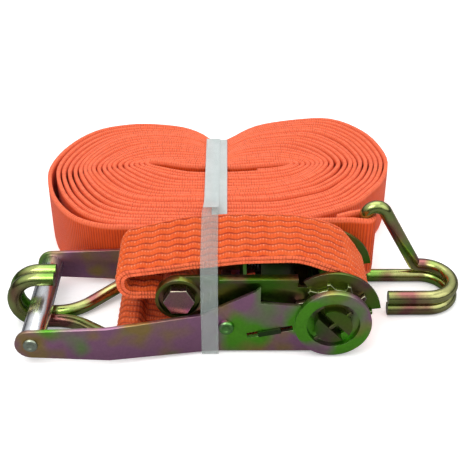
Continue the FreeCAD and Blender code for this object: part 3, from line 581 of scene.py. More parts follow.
@dataclass(frozen=True)
class OpenBand:
    """Thin white woven band that lets some of what is behind it show."""

    name: str
    colour: Colour = (0.72, 0.78, 0.77)
    shade: Colour = (0.60, 0.67, 0.66)
    thread_pitch: float = 0.9
    solid_share: float = 0.85
    open_share: float = 0.45

    def build(self, effects: Effects) -> bpy.types.Material:
        """Make the material from the shared effects.

        Args:
            effects: the shared shader groups.

        Returns:
            The new material.
        """
        material, nodes, shader = new_material(self.name)
        pitches = {name: self.thread_pitch * MM
                   for name in ("Rib Pitch", "Weft Pitch", "Wave Pitch")}
        weave = nodes.group(effects.weave, {**pitches, "Rib Share": 0.5, "Weft Share": 0.5})
        cloud = nodes.spread(weave["Cloud"], 0.3, 0.7)
        nodes.feed(shader, {
            "Base Color": nodes.mix(cloud, self.shade, self.colour),
            "Alpha": nodes.spread(weave["Height"], -0.7, 0.5, self.open_share, self.solid_share),
            "Roughness": nodes.spread(weave["Cloud"], 0.3, 0.7, 0.35, 0.5),
            "Sheen Weight": 0.2, "Normal": nodes.bump(weave["Height"], 0.3, 0.2)})
        return material


@dataclass(frozen=True)
class StudioFloor:
    """Pale matt floor, which polished metal sees darker than it is."""

    name: str
    colour: Colour = (0.95, 0.95, 0.95)
    shade: Colour = (0.931, 0.931, 0.931)
    reflected: Colour = (0.20, 0.20, 0.21)
    glow: float = 0.25

    def build(self) -> bpy.types.Material:
        """Make the material."""
        material, nodes, shader = new_material(self.name)
        shade = nodes.mix(nodes.noise(nodes.place(), 3.0), self.shade, self.colour)
        glossy = nodes.add("ShaderNodeLightPath").outputs["Is Glossy Ray"]
        nodes.feed(shader, {
            "Base Color": nodes.mix(glossy, shade, self.reflected),
            "Roughness": 0.9, "Emission Color": (1.0, 1.0, 1.0, 1.0),
            "Emission Strength": nodes.times(nodes.math("SUBTRACT", 1.0, glossy), self.glow)})
        return material


# ------------------------------------------------------------------ outlines and strips
def bent_line(corners: list[Corner], radii: list[float], step: float) -> np.ndarray:
    """Sample straight runs joined by tangent arcs.

    Args:
        corners: the corner points of the open line.
        radii: the bend radius at each inner corner.
        step: the distance between samples on the runs.

    Returns:
        The sampled points, one row each.
    """
    points = [np.array(c, float) for c in corners]
    samples: list[np.ndarray] = [points[0]]
    for i in range(1, len(points) - 1):
        before = points[i - 1] - points[i]
        after = points[i + 1] - points[i]
        before /= np.linalg.norm(before)
        after /= np.linalg.norm(after)
        turn = math.pi - math.acos(float(np.clip(before @ after, -1, 1)))
        radius = radii[i - 1]
        setback = radius * math.tan(turn / 2)
        start, end = points[i] + before * setback, points[i] + after * setback
        bisector = before + after
        centre = points[i] + bisector / np.linalg.norm(bisector) * radius / math.cos(turn / 2)
        samples.extend(run_points(samples[-1], start, step))
        first, last = start - centre, end - centre
        count = max(3, int(abs(turn) * radius / step) + 2)
        for k in range(1, count + 1):
            share = k / count
            weight_a = math.sin((1 - share) * turn) / math.sin(turn)
            weight_b = math.sin(share * turn) / math.sin(turn)
            samples.append(centre + first * weight_a + last * weight_b)
    samples.extend(run_points(samples[-1], points[-1], step))
    return np.array(samples)


def run_points(start: np.ndarray, end: np.ndarray, step: float) -> list[np.ndarray]:
    """Points along a straight run, without its start.

    Args:
        start: where the run starts.
        end: where it ends, which is the last point.
        step: the longest distance between points.

    Returns:
        The points.
    """
    length = float(np.linalg.norm(end - start))
    if length < 1e-9:
        return []
    count = max(1, int(length / step))
    return [start + (end - start) * (k / count) for k in range(1, count + 1)]


def resample(points: np.ndarray, count: int) -> np.ndarray:
    """The same line with evenly spaced points.

    Args:
        points: the line, one row a point.
        count: the number of points wanted.

    Returns:
        The new points, one row each.
    """
    lengths = np.concatenate([[0], np.cumsum(np.linalg.norm(np.diff(points, axis=0), axis=1))])
    wanted = np.linspace(0, lengths[-1], count)
    return np.stack([np.interp(wanted, lengths, points[:, i]) for i in range(points.shape[1])], 1)


@dataclass
class Strip:
    """A flat woven strip that follows a line, built as one closed mesh.

    Attributes:
        name: the piece's name.
        centre: centre line in metres from the datum, one row a station.
        across: unit vector across the strip at each station.
        width: width in metres.
        thickness: thickness in metres, one value or one a station.
        rib_pitch: spacing of the raised ribs in metres, or 0.
        rib_height: how far ribs stand out, in metres.
        rib_wave: how far ribs wander sideways, in metres.
        wave_pitch: length of one wander, in metres.
        columns: number of faces across each side.
        layers: 2 for two layers sewn together, which leaves a groove along the edges.
        edge_from: share of the half width beyond which the surface is the edge.
    """

    name: str
    centre: np.ndarray
    across: np.ndarray
    width: float
    thickness: float | np.ndarray
    rib_pitch: float = 0.0
    rib_height: float = 0.0
    rib_wave: float = 0.0
    wave_pitch: float = 0.012
    columns: int = 16
    layers: int = 1
    edge_from: float = 0.97

    def length(self) -> float:
        """Length of the centre line in metres."""
        return float(np.linalg.norm(np.diff(self.centre, axis=0), axis=1).sum())

    def build(self, datum: Datum, material: bpy.types.Material) -> bpy.types.Object:
        """Make the mesh object.

        Args:
            datum: where the ratchet is.
            material: the finish of the strip.

        Returns:
            The new object, in place.
        """
        stations = len(self.centre)
        tangent = np.gradient(self.centre, axis=0)
        tangent /= np.linalg.norm(tangent, axis=1)[:, None]
        square = np.cross(tangent, self.across)
        square /= np.linalg.norm(square, axis=1)[:, None]
        step = np.linalg.norm(np.diff(self.centre, axis=0), axis=1)
        length = np.concatenate([[0], np.cumsum(step)])
        thickness = np.broadcast_to(np.asarray(self.thickness, float), (stations,))
        LOG.info("%s: %.3f m long", self.name, length[-1])
        ring_v, ring_side, edge = self._ring()
        relief = self._relief(length, ring_v)
        half = thickness[:, None] / 2 + relief * (edge < self.edge_from)
        places = (self.centre[:, None, :]
                  + self.across[:, None, :] * ring_v[None, :, None]
                  + square[:, None, :] * (ring_side[None, :] * half)[:, :, None])
        mesh = self._mesh(places + datum.shift(), stations, len(ring_v))
        strap = np.zeros((stations, len(ring_v), 3), np.float32)
        strap[:, :, 0] = length[:, None]
        strap[:, :, 1] = ring_v[None, :]
        strap[:, :, 2] = (edge > self.edge_from)[None, :]
        layer = mesh.attributes.new(STRAP_ATTRIBUTE, "FLOAT_VECTOR", "POINT")
        layer.data.foreach_set("vector", strap.ravel())
        mesh.materials.append(material)
        return put(self.name, mesh)

    def _ring(self) -> tuple[np.ndarray, np.ndarray, np.ndarray]:
        """Places across the strip, side of each, and how near it is to an edge."""
        half = self.width / 2
        line = np.linspace(-1, 1, self.columns + 1)
        line = np.sign(line) * (1 - (1 - np.abs(line)) ** 1.15)
        inner = line[1:-1]
        edge_v = np.array([0.992, 1.0, 1.0, 0.992])
        edge_side = np.array([-0.9, -0.45, 0.45, 0.9])
        if self.layers == 2:
            edge_v = np.array([0.992, 1.0, 1.0, 0.965, 1.0, 1.0, 0.992])
            edge_side = np.array([-0.95, -0.8, -0.2, 0.0, 0.2, 0.8, 0.95])
        v = np.concatenate([-edge_v, inner, edge_v[::-1], inner[::-1]])
        side = np.concatenate([edge_side, np.ones(len(inner)), edge_side[::-1],
                               -np.ones(len(inner))])
        return v * half, side, np.abs(v)

    def _relief(self, length: np.ndarray, ring_v: np.ndarray) -> np.ndarray:
        """Height of the ribs at each station and place across.

        Args:
            length: length run at each station, in metres.
            ring_v: place across of each point of the ring, in metres.

        Returns:
            Heights in metres, a row a station.
        """
        if not self.rib_pitch:
            return np.zeros((len(length), len(ring_v)))
        drift = self.rib_wave * np.sin(math.tau * length / self.wave_pitch)
        phase = math.tau * (ring_v[None, :] + drift[:, None]) / self.rib_pitch
        return self.rib_height * np.cos(phase)

    @staticmethod
    def _mesh(places: np.ndarray, stations: int, ring: int) -> bpy.types.Mesh:
        """Faces along the strip with both ends closed.

        Args:
            places: the points of every ring, in metres.
            stations: the number of rings.
            ring: the number of points in a ring.

        Returns:
            The closed mesh.
        """
        faces = []
        for i in range(stations - 1):
            for j in range(ring):
                k = (j + 1) % ring
                faces.append((i * ring + j, i * ring + k, (i + 1) * ring + k, (i + 1) * ring + j))
        faces.append(tuple(range(ring))[::-1])
        faces.append(tuple(range((stations - 1) * ring, stations * ring)))
        mesh = bpy.data.meshes.new("strip")
        mesh.from_pydata(places.reshape(-1, 3).tolist(), [], faces)
        mesh.validate()
        mesh.update()
        mesh.shade_smooth()
        return mesh


def in_side_view(line: np.ndarray) -> np.ndarray:
    """Lift a line of X and Z in millimetres to points in metres, on the middle plane."""
    return np.stack([line[:, 0], np.zeros(len(line)), line[:, 1]], 1) * MM


def mixed_line(table: list[Corner], places: np.ndarray) -> np.ndarray:
    """Read a smooth value at each place from a short list of (place, value).

    Args:
        table: the known values, by rising place.
        places: where a value is wanted.

    Returns:
        The values, straight between the known ones.
    """
    knots = np.array(table, float)
    return np.interp(places, knots[:, 0], knots[:, 1])


def smooth_closed(corners: list[Corner], count: int) -> np.ndarray:
    """A closed Catmull-Rom curve through a few points, evenly sampled.

    Args:
        corners: the points that the curve passes, in order.
        count: the number of samples; the first is at the first corner.

    Returns:
        The samples, one row each, without a repeat of the first.
    """
    points = np.array(corners, float)
    samples = []
    steps = np.linspace(0, 1, 24, endpoint=False)[:, None]
    for i in range(len(points)):
        a, b, c, d = (points[(i + k) % len(points)] for k in (-1, 0, 1, 2))
        samples.append(0.5 * (2 * b + (c - a) * steps + (2 * a - 5 * b + 4 * c - d) * steps ** 2
                              + (3 * b - a - 3 * c + d) * steps ** 3))
    line = np.concatenate(samples + [samples[0][:1]])
    return resample(line, count + 1)[:-1]


# ------------------------------------------------------------------ the short strap
@dataclass
class ShortStrap:
    """Sewn webbing from the bolt, folded over the frame, to the hook on the grip."""

    width: float = 50.0
    single: float = 2.8
    sewn: float = 5.8
    bolt: Corner = (-106.0, 44.5)
    bolt_eye: float = 10.8
    fold_x: float = -146.4
    fold_low: float = 42.6
    fold_high: float = 61.0
    fold_bend: float = 8.6
    under: float = 2.6
    turn_reach: float = 25.9
    hook_bar: Corner = (-144.0, 9.4)
    hook_eye: float = 6.8
    rib_pitch: float = 6.7
    rib_height: float = 1.05
    single_rib_share: float = 0.4
    rib_wave: float = 0.8
    wave_pitch: float = 12.0
    step: float = 1.3

    def build(self, datum: Datum, material: bpy.types.Material) -> None:
        """Make the three strips; the loop round the bolt is tied to the frame, the other two stay
        fixed where they are made.

        Args:
            datum: where the ratchet is.
            material: the finish of the webbing.
        """
        upper = self._upper().build(datum, material)
        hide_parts("short_strap_top", "short_strap_turn")
        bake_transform(upper)
        eye = self._bolt_eye().build(datum, material)
        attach(eye, "frame")
        lower = self._lower().build(datum, material)
        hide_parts("short_strap_under", "short_strap_eye")
        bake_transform(lower)
        self._length(upper)
        self._length(lower)

    @staticmethod
    def _length(piece: bpy.types.Object) -> float:
        """Length of a strip in metres, from its own coordinates.

        Args:
            piece: the built strip.

        Returns:
            The distance that its coordinates run along it.
        """
        layer = piece.data.attributes[STRAP_ATTRIBUTE]
        values = np.zeros(len(layer.data) * 3, np.float32)
        layer.data.foreach_get("vector", values)
        along = values.reshape(-1, 3)[:, 0]
        return float(along.max() - along.min())

    def _upper(self) -> Strip:
        """From the bolt round the fold, over the frame and round the spindle end."""
        start = self.bolt[0] - self.bolt_eye - 0.2
        line = bent_line(
            [(start, self.fold_low), (self.fold_x, self.fold_low), (self.fold_x, self.fold_high),
             (-100.0, 70.2), (-62.0, 73.6), (-22.0, 73.7), (12.0, 61.0),
             (self.turn_reach, 40.0), (self.turn_reach, self.under), (-8.0, self.under)],
            [self.fold_bend, self.fold_bend, 90, 160, 60, 34, 30, self.turn_reach - 3], self.step)
        line = resample(line, int(np.linalg.norm(np.diff(line, axis=0), axis=1).sum() / self.step))
        lean = mixed_line([(-150, 0.04), (-127, 0.10), (-106, 0.15), (-90, 0.14), (-64, 0.09),
                           (-24, 0.05), (-2, 0.10), (8, 0.10), (20, 0.0)], line[:, 0])
        lean = lean * np.clip((line[:, 1] - 48) / 12, 0, 1)
        across = np.stack([np.zeros(len(lean)), np.cos(lean), np.sin(lean)], 1)
        run = np.concatenate([[0], np.cumsum(np.linalg.norm(np.diff(line, axis=0), axis=1))])
        thin_from = run[np.argmax((line[:, 0] > -6) & (line[:, 1] > 50))]
        blend = np.clip((run - thin_from) / 22, 0, 1)
        thickness = (self.sewn + (self.single - self.sewn) * blend) * MM
        return Strip("short_strap_sewn", in_side_view(line), across, self.width * MM, thickness,
                     self.rib_pitch * MM, self.rib_height * MM, self.rib_wave * MM,
                     self.wave_pitch * MM, columns=48, layers=2)

    def _bolt_eye(self) -> Strip:
        """The loop of the sewn end round the bolt spacer."""
        angles = np.radians(np.linspace(172, -172, 60))
        ring = np.stack([self.bolt[0] + self.bolt_eye * np.cos(angles),
                         self.bolt[1] + self.bolt_eye * np.sin(angles)], 1)
        return self._one_layer("short_strap_bolt_eye", ring)

    def _lower(self) -> Strip:
        """Below the handle and round the bar of the left hook."""
        x, z = self.hook_bar
        left, top = x - self.hook_eye, z + self.hook_eye
        doubled = self.under + self.single + 0.2
        line = bent_line(
            [(-8.6, self.under), (left, self.under), (left, top), (x + self.hook_eye, top),
             (x + self.hook_eye + 5, doubled), (x + 32, doubled)],
            [self.hook_eye, self.hook_eye, self.hook_eye, 9.0], self.step)
        return self._one_layer("short_strap_lower", line)

    def _one_layer(self, name: str, line: np.ndarray) -> Strip:
        """A run of one layer, square to the side view, with its lower ribs.

        Args:
            name: the piece's name.
            line: its route in the side view, X and Z in millimetres.

        Returns:
            The strip, not built yet.
        """
        across = np.tile([0.0, 1.0, 0.0], (len(line), 1))
        return Strip(name, in_side_view(line), across, self.width * MM, self.single * MM,
                     self.rib_pitch * MM, self.rib_height * MM * self.single_rib_share,
                     0.0, columns=32)


# ------------------------------------------------------------------ the long strap
@dataclass
class LongStrap:
    """Ten metres of webbing standing on edge, rolled round a flat loop and held in two lobes."""

    width: float = 50.0
    thickness: float = 3.3
    packing: float = 0.97
    base: float = 0.8
    turns: int = 19
    stations_a_turn: int = 100
    rise: float = 10.6
    rise_from: float = -72.0
    rise_to: float = 20.0
    drift: float = 0.28
    layer_spread: float = 0.45
    lowest: float = -0.6
    band_x: float = -83.0
    crescent: float = 4.5
    crescent_at: float = 0.765
    crescent_spread: float = 0.09
    hook_eye: float = 6.8
    seed: int = 4
    quarters: tuple[float, ...] = (0.20, 0.24, 0.26, 0.30)
    inner: tuple[tuple[Corner, ...], ...] = (
        ((-48.0, 139.2), (-36.0, 140.8), (-25.0, 144.0)),
        ((-19.0, 148.6), (-24.0, 151.8), (-38.0, 149.0), (-60.0, 145.0)),
        ((-78.0, 143.6), (-106.0, 145.4), (-126.0, 152.4), (-135.0, 154.6)),
        ((-138.5, 151.4), (-133.0, 147.2), (-104.0, 138.2), (-88.0, 136.4), (-69.0, 137.0)))
    outer: tuple[tuple[Corner, ...], ...] = (
        ((-34.0, 53.2), (-8.0, 61.5), (28.0, 80.5), (47.0, 103.0), (58.0, 121.0)),
        ((65.5, 149.0), (63.5, 176.0), (53.0, 207.0), (31.0, 232.0), (6.0, 236.5),
         (-42.0, 223.0), (-69.0, 196.5)),
        ((-78.0, 188.5), (-87.0, 191.5), (-99.0, 207.0), (-117.0, 219.0), (-148.0, 224.5),
         (-171.0, 221.0), (-190.0, 212.0), (-206.0, 193.0), (-218.0, 165.0)),
        ((-222.0, 134.0), (-214.0, 98.5), (-200.0, 73.5), (-186.0, 60.5), (-168.0, 53.2),
         (-150.0, 51.9), (-85.0, 51.9)))

    def build(self, datum: Datum, material: bpy.types.Material) -> None:
        """Make the strip and fix it to the frame.

        Args:
            datum: where the ratchet is.
            material: the finish of the webbing.
        """
        LOG.info("long strap of %d turns", self.turns)
        strip = self._strip(datum)
        piece = strip.build(datum, material)
        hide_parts("long_strap_roll", "long_strap_tail")
        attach(piece, "frame")
        strip.length()

    def _strip(self, datum: Datum) -> Strip:
        """The rolled strip with its end round the bar of the right hook.

        Args:
            datum: where the ratchet and its hook are.

        Returns:
            The strip, not built yet.
        """
        rng = np.random.default_rng(self.seed)
        turn = np.arange(self.turns * self.stations_a_turn + 1) / self.stations_a_turn
        line = self._plan(rng, turn)
        rolled = np.column_stack([line, self._unevenness(rng, turn, line)])
        tail = self._tail(line[-1], datum)
        tail = np.column_stack([tail, self._climb(tail[:, 0])])
        path = np.concatenate([rolled[:-1], tail])
        path[:, 2] += self.base + self.width / 2
        # the last third of a turn climbs as the tail does; the first station of the tail,
        # which is in the slice too, climbs twice and stands up as a small peak
        climbing = slice(len(rolled) - self.stations_a_turn // 3 + 1, len(rolled))
        path[climbing, 2] += self._climb(path[climbing, 0])
        across = np.tile([0.0, 0.0, 1.0], (len(path), 1))
        return Strip("long_strap", path * MM, across, self.width * MM,
                     self._thickness(path, len(rolled)) * MM, columns=8)

    def _plan(self, rng: np.random.Generator, turn: np.ndarray) -> np.ndarray:
        """The turns seen from above, between the inner and the outer outline.

        Args:
            rng: the source of the random drift between turns.
            turn: how many turns have gone by at each station.

        Returns:
            X and Y in millimetres, one row a station.
        """
        count = self.stations_a_turn
        place = np.arange(len(turn)) % count
        share = turn / self.turns
        phases = rng.uniform(0, math.tau, 4)
        round_angle = math.tau * place / count
        drift = sum(self.drift / (k + 1)
                    * np.sin((k + 1) * round_angle + phases[k] + turn * (0.5 + 0.3 * k))
                    for k in range(len(phases)))
        share = share + drift / self.turns * np.sin(math.pi * np.clip(share, 0, 1))
        inner = self._by_quarter(self.inner, count)
        outer = self._by_quarter(self.outer, count)
        line = inner[place] * (1 - share[:, None]) + outer[place] * share[:, None]
        away = line - inner.mean(0)
        away /= np.linalg.norm(away, axis=1)[:, None]
        # under the outermost turn the others fall back and leave a crescent
        gap = self.crescent * np.exp(-((place / count - self.crescent_at)
                                       / self.crescent_spread) ** 2)
        inside = np.clip((self.turns - 0.95 - turn) / 0.25, 0, 1)
        return line - away * (gap * inside * share ** 2)[:, None]

    def _unevenness(self, rng: np.random.Generator, turn: np.ndarray,
                    line: np.ndarray) -> np.ndarray:
        """How far each station stands above or below the others, none of it at the band.

        Args:
            rng: the source of the random height of each turn.
            turn: how many turns have gone by at each station.
            line: X and Y of each station in millimetres.

        Returns:
            A height in millimetres for each station.
        """
        layers = rng.normal(0, self.layer_spread, self.turns + 2)
        round_angle = math.tau * (np.arange(len(turn)) % self.stations_a_turn
                                  ) / self.stations_a_turn
        height = np.interp(turn, np.arange(self.turns + 2), layers)
        height = height + 0.25 * np.sin(round_angle * 2 + turn)
        height *= np.clip(np.abs(line[:, 0] - self.band_x) / 25, 0, 1)
        return np.maximum(height, self.lowest)

    def _climb(self, x: np.ndarray) -> np.ndarray:
        """How far the strap has risen towards the hook at each X."""
        return self.rise * np.clip((x - self.rise_from) / (self.rise_to - self.rise_from), 0, 1)

    def _tail(self, start: np.ndarray, datum: Datum) -> np.ndarray:
        """From the roll to the right hook, round its bar and back.

        Args:
            start: where the roll ends, X and Y in millimetres.
            datum: where the hook bar is.

        Returns:
            X and Y in millimetres, one row a station.
        """
        bar = np.array([(datum.hook_bar.x - datum.spindle.x) / MM,
                        (datum.hook_bar.y - datum.spindle.y) / MM])
        heading = bar - start
        distance = float(np.linalg.norm(heading))
        base_angle = math.atan2(heading[1], heading[0])
        # the strip passes in front of the bar and comes back behind it
        lean = math.asin(self.hook_eye / distance)
        run_angle = base_angle - lean
        touch_length = distance * math.cos(lean)
        touch = start + touch_length * np.array([math.cos(run_angle), math.sin(run_angle)])
        run = [start + (touch - start) * k for k in np.linspace(0, 1, 24)]
        first = math.atan2(*(touch - bar)[::-1])
        angles = first + np.radians(np.linspace(0, 205, 34))[1:]
        ring = [bar + self.hook_eye * np.array([math.cos(a), math.sin(a)]) for a in angles]
        heading_back = np.array([-math.sin(angles[-1]), math.cos(angles[-1])])
        back = [ring[-1] + heading_back * k for k in np.linspace(0, 20, 10)[1:]]
        return np.array(run + ring + back)

    def _by_quarter(self, parts: tuple[tuple[Corner, ...], ...], count: int) -> np.ndarray:
        """Samples of a closed outline, so many a quarter that two outlines match.

        Args:
            parts: corners from the front, the right end, the back and the left end.
            count: samples in all.

        Returns:
            The samples, one row each.
        """
        dense = smooth_closed([corner for part in parts for corner in part], 2400)
        closed = np.concatenate([dense, dense[:1]])
        marks = [int(np.argmin(np.linalg.norm(dense - np.array(part[0]), axis=1)))
                 for part in parts[1:]]
        ends = [0, *marks, len(dense)]
        samples = []
        for share, first, last in zip(self.quarters, ends, ends[1:]):
            samples.append(resample(closed[first:last + 1], round(share * count) + 1)[:-1])
        return np.concatenate(samples)

    def _thickness(self, path: np.ndarray, rolled: int) -> np.ndarray:
        """Webbing thickness, less where the turns are pressed together.

        Args:
            path: the whole centre line in millimetres.
            rolled: how many of its stations are in the roll.

        Returns:
            A thickness in millimetres for each station.
        """
        count = self.stations_a_turn
        pitch = np.full(len(path), 2 * self.thickness)
        spacing = np.linalg.norm((path[count:rolled] - path[:rolled - count])[:, :2], axis=1)
        pitch[:rolled - count] = spacing
        pitch[count:rolled] = np.minimum(pitch[count:rolled], spacing)
        # a running mean over nine stations
        pitch = np.convolve(np.pad(pitch, 4, mode="edge"), np.ones(9) / 9, mode="valid")
        return np.minimum(self.thickness, self.packing * pitch)


# ------------------------------------------------------------------ the band
@dataclass
class Band:
    """Woven band round the roll, and round the roll, the strap and the ratchet."""

    x: float = -85.2
    second_x: float = -79.0
    width: float = 12.0
    thickness: float = 0.35
    roll_front: float = 50.2
    roll_back: float = 190.6
    roll_top: float = 51.7
    low: float = 0.22
    second_low: float = 0.55
    second_gap: float = 0.4
    outer_gap: float = 0.9
    over_gap: float = 0.5
    leave_y: float = 84.0
    strap_y: float = 24.5
    strap_top: float = 79.9
    open_share: float = 0.02
    step: float = 1.5

    def build(self, datum: Datum, doubled: bpy.types.Material,
              single: bpy.types.Material) -> None:
        """Make the three strips and tie them to the frame.

        Args:
            datum: where the ratchet is.
            doubled: the finish where the band lies on itself.
            single: the finish of one layer, more see-through, and darker in colour as painted shade.
        """
        front, back, top = self.roll_front, self.roll_back, self.roll_top
        seam = (front + 60, self.second_low)
        around = [seam, (back, self.second_low), (back, top), (front - self.second_gap, top),
                  (front - self.second_gap, self.second_low), seam]
        inner = self._strip("band_second", around, [1.0, 1.0, 1.0, 1.0], self.second_x)
        over = top + self.over_gap
        lift = (self.strap_top - over) / (self.leave_y - self.strap_y)
        at_front = over + lift * (self.leave_y - front)
        behind = back + self.outer_gap
        far = [(front, self.low), (behind, self.low), (behind, over), (self.leave_y, over),
               (front, at_front)]
        outer = self._strip("band_over_roll", far, [1.2, 1.2, 40.0], self.x)
        near = [(front, at_front), (self.strap_y, self.strap_top), (-25.8, 72.6), (-33.9, 62.4),
                (-38.4, 36.0), (-38.4, self.low), (front, self.low)]
        held = self._strip("band_over_ratchet", near, [1.5, 2.0, 1.2, 3.0, 1.0], self.x)
        for piece in (inner, outer, held):
            mesh = piece.build(datum, single if piece is held else doubled)
            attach(mesh, "frame")
            if piece is held:
                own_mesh(mesh)
                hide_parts("band_front")
            if piece is inner:
                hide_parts("band_roll")
            piece.length()

    def _strip(self, name: str, corners: list[Corner], radii: list[float], x: float) -> Strip:
        """A strip of the band from its Y and Z corners.

        Args:
            name: the piece's name.
            corners: its corners, Y and Z in millimetres.
            radii: the bend radius at each inner corner.
            x: where the band lies along the ratchet.

        Returns:
            The strip, not built yet.
        """
        line = bent_line(corners, radii, self.step)
        centre = np.stack([np.full(len(line), x), line[:, 0], line[:, 1]], 1)
        across = np.tile([1.0, 0.0, 0.0], (len(line), 1))
        return Strip(name, centre * MM, across, self.width * MM, self.thickness * MM, columns=8)


# ------------------------------------------------------------------ metal parts
@dataclass(frozen=True)
class RoundedEdges:
    """Makes the shown copy of a metal node, with its sharp edges rounded a little.

    Attributes:
        radius: how much of each edge is rounded off, in millimetres.
        sharp: an edge is rounded if its faces meet at more than this angle, in degrees.
    """

    radius: float = 0.4
    sharp: float = 35.0

    def build(self, node: bpy.types.Object, finish: bpy.types.Material) -> bpy.types.Object:
        """Copy the node, round its edges and put the copy in its place.

        Args:
            node: the CAD node, which isn't changed.
            finish: the material of the copy.

        Returns:
            The copy, riding on the node's body.
        """
        work = bmesh.new()
        work.from_mesh(node.data)
        bmesh.ops.remove_doubles(work, verts=work.verts, dist=0.002 * MM)
        bmesh.ops.dissolve_limit(work, angle_limit=math.radians(0.6), verts=work.verts,
                                 edges=work.edges, delimit=set())
        limit = math.radians(self.sharp)
        edges = [e for e in work.edges
                 if len(e.link_faces) == 2 and e.calc_face_angle(0.0) > limit]
        layer = work.faces.layers.float.new(EDGE_ATTRIBUTE)
        made = bmesh.ops.bevel(work, geom=edges, offset=self.radius * MM, offset_type="OFFSET",
                               segments=2, profile=0.5, affect="EDGES", clamp_overlap=True)
        for face in made["faces"]:
            face[layer] = 1.0
        mesh = bpy.data.meshes.new(node.name + "_shown")
        work.to_mesh(mesh)
        work.free()
        mesh.materials.append(finish)
        mesh.shade_smooth()
        mesh.set_sharp_from_angle(angle=limit)
        shown = put(node.name + "_shown", mesh)
        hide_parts(node.name)
        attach(shown, node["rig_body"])
        return shown


@dataclass(frozen=True)
class PawlSprings:
    """The shown copy of two springs, which rides on the body of their CAD node.

    Attributes:
        node: the CAD node of the pair.
        joint: the slide of the pawl; not used.
        seat: from the spindle axis to the face that the springs stand on, in millimetres; not used.
        length: of the springs at rest, in millimetres; not used.
    """

    node: str
    joint: str
    seat: float
    length: float = 11.6

    def build(self, frame: dict, datum: Datum) -> None:
        """Make the copy and let it ride on the body of its CAD node.

        Args:
            datum: where the spindle axis is; not used.
        """
        node = frame["nodes"][self.node]
        shown = put(self.node + "_shown", node.data.copy())
        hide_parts(self.node)
        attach(shown, node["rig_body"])
        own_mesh(shown)


@dataclass(frozen=True)
class RivetHead:
    """Formed end of a rod: a low ring round a hollow, on the outside of a plate."""

    name: str
    place: Vector
    way: int
    radius: float
    sides: int = 40
    profile: tuple[Corner, ...] = (
        (0.0, 0.02), (0.30, 0.03), (0.42, 0.10), (0.55, 0.22), (0.70, 0.26), (0.85, 0.20),
        (0.96, 0.08), (1.0, -0.08))

    def build(self, material: bpy.types.Material) -> None:
        """Turn the profile about the rod and fix it to the handle.

        Args:
            material: the finish of the head.
        """
        work = bmesh.new()
        scale = self.radius * MM
        points = [work.verts.new((r * scale, self.way * h * scale, 0.0)) for r, h in self.profile]
        points.append(work.verts.new((0.0, self.way * self.profile[-1][1] * scale, 0.0)))
        edges = [work.edges.new(pair) for pair in zip(points, points[1:])]
        bmesh.ops.spin(work, geom=points + edges, cent=(0, 0, 0), axis=(0, 1, 0),
                       angle=math.tau, steps=self.sides, use_duplicate=False)
        bmesh.ops.remove_doubles(work, verts=work.verts, dist=1e-6)
        bmesh.ops.recalc_face_normals(work, faces=work.faces)
        for vertex in work.verts:
            vertex.co += self.place
        mesh = bpy.data.meshes.new(self.name)
        work.to_mesh(mesh)
        work.free()
        mesh.materials.append(material)
        mesh.shade_smooth()
        mesh.set_sharp_from_angle(angle=math.radians(50))
        head = put(self.name, mesh)
        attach(head, "handle")
        LOG.info("%s", self.name)


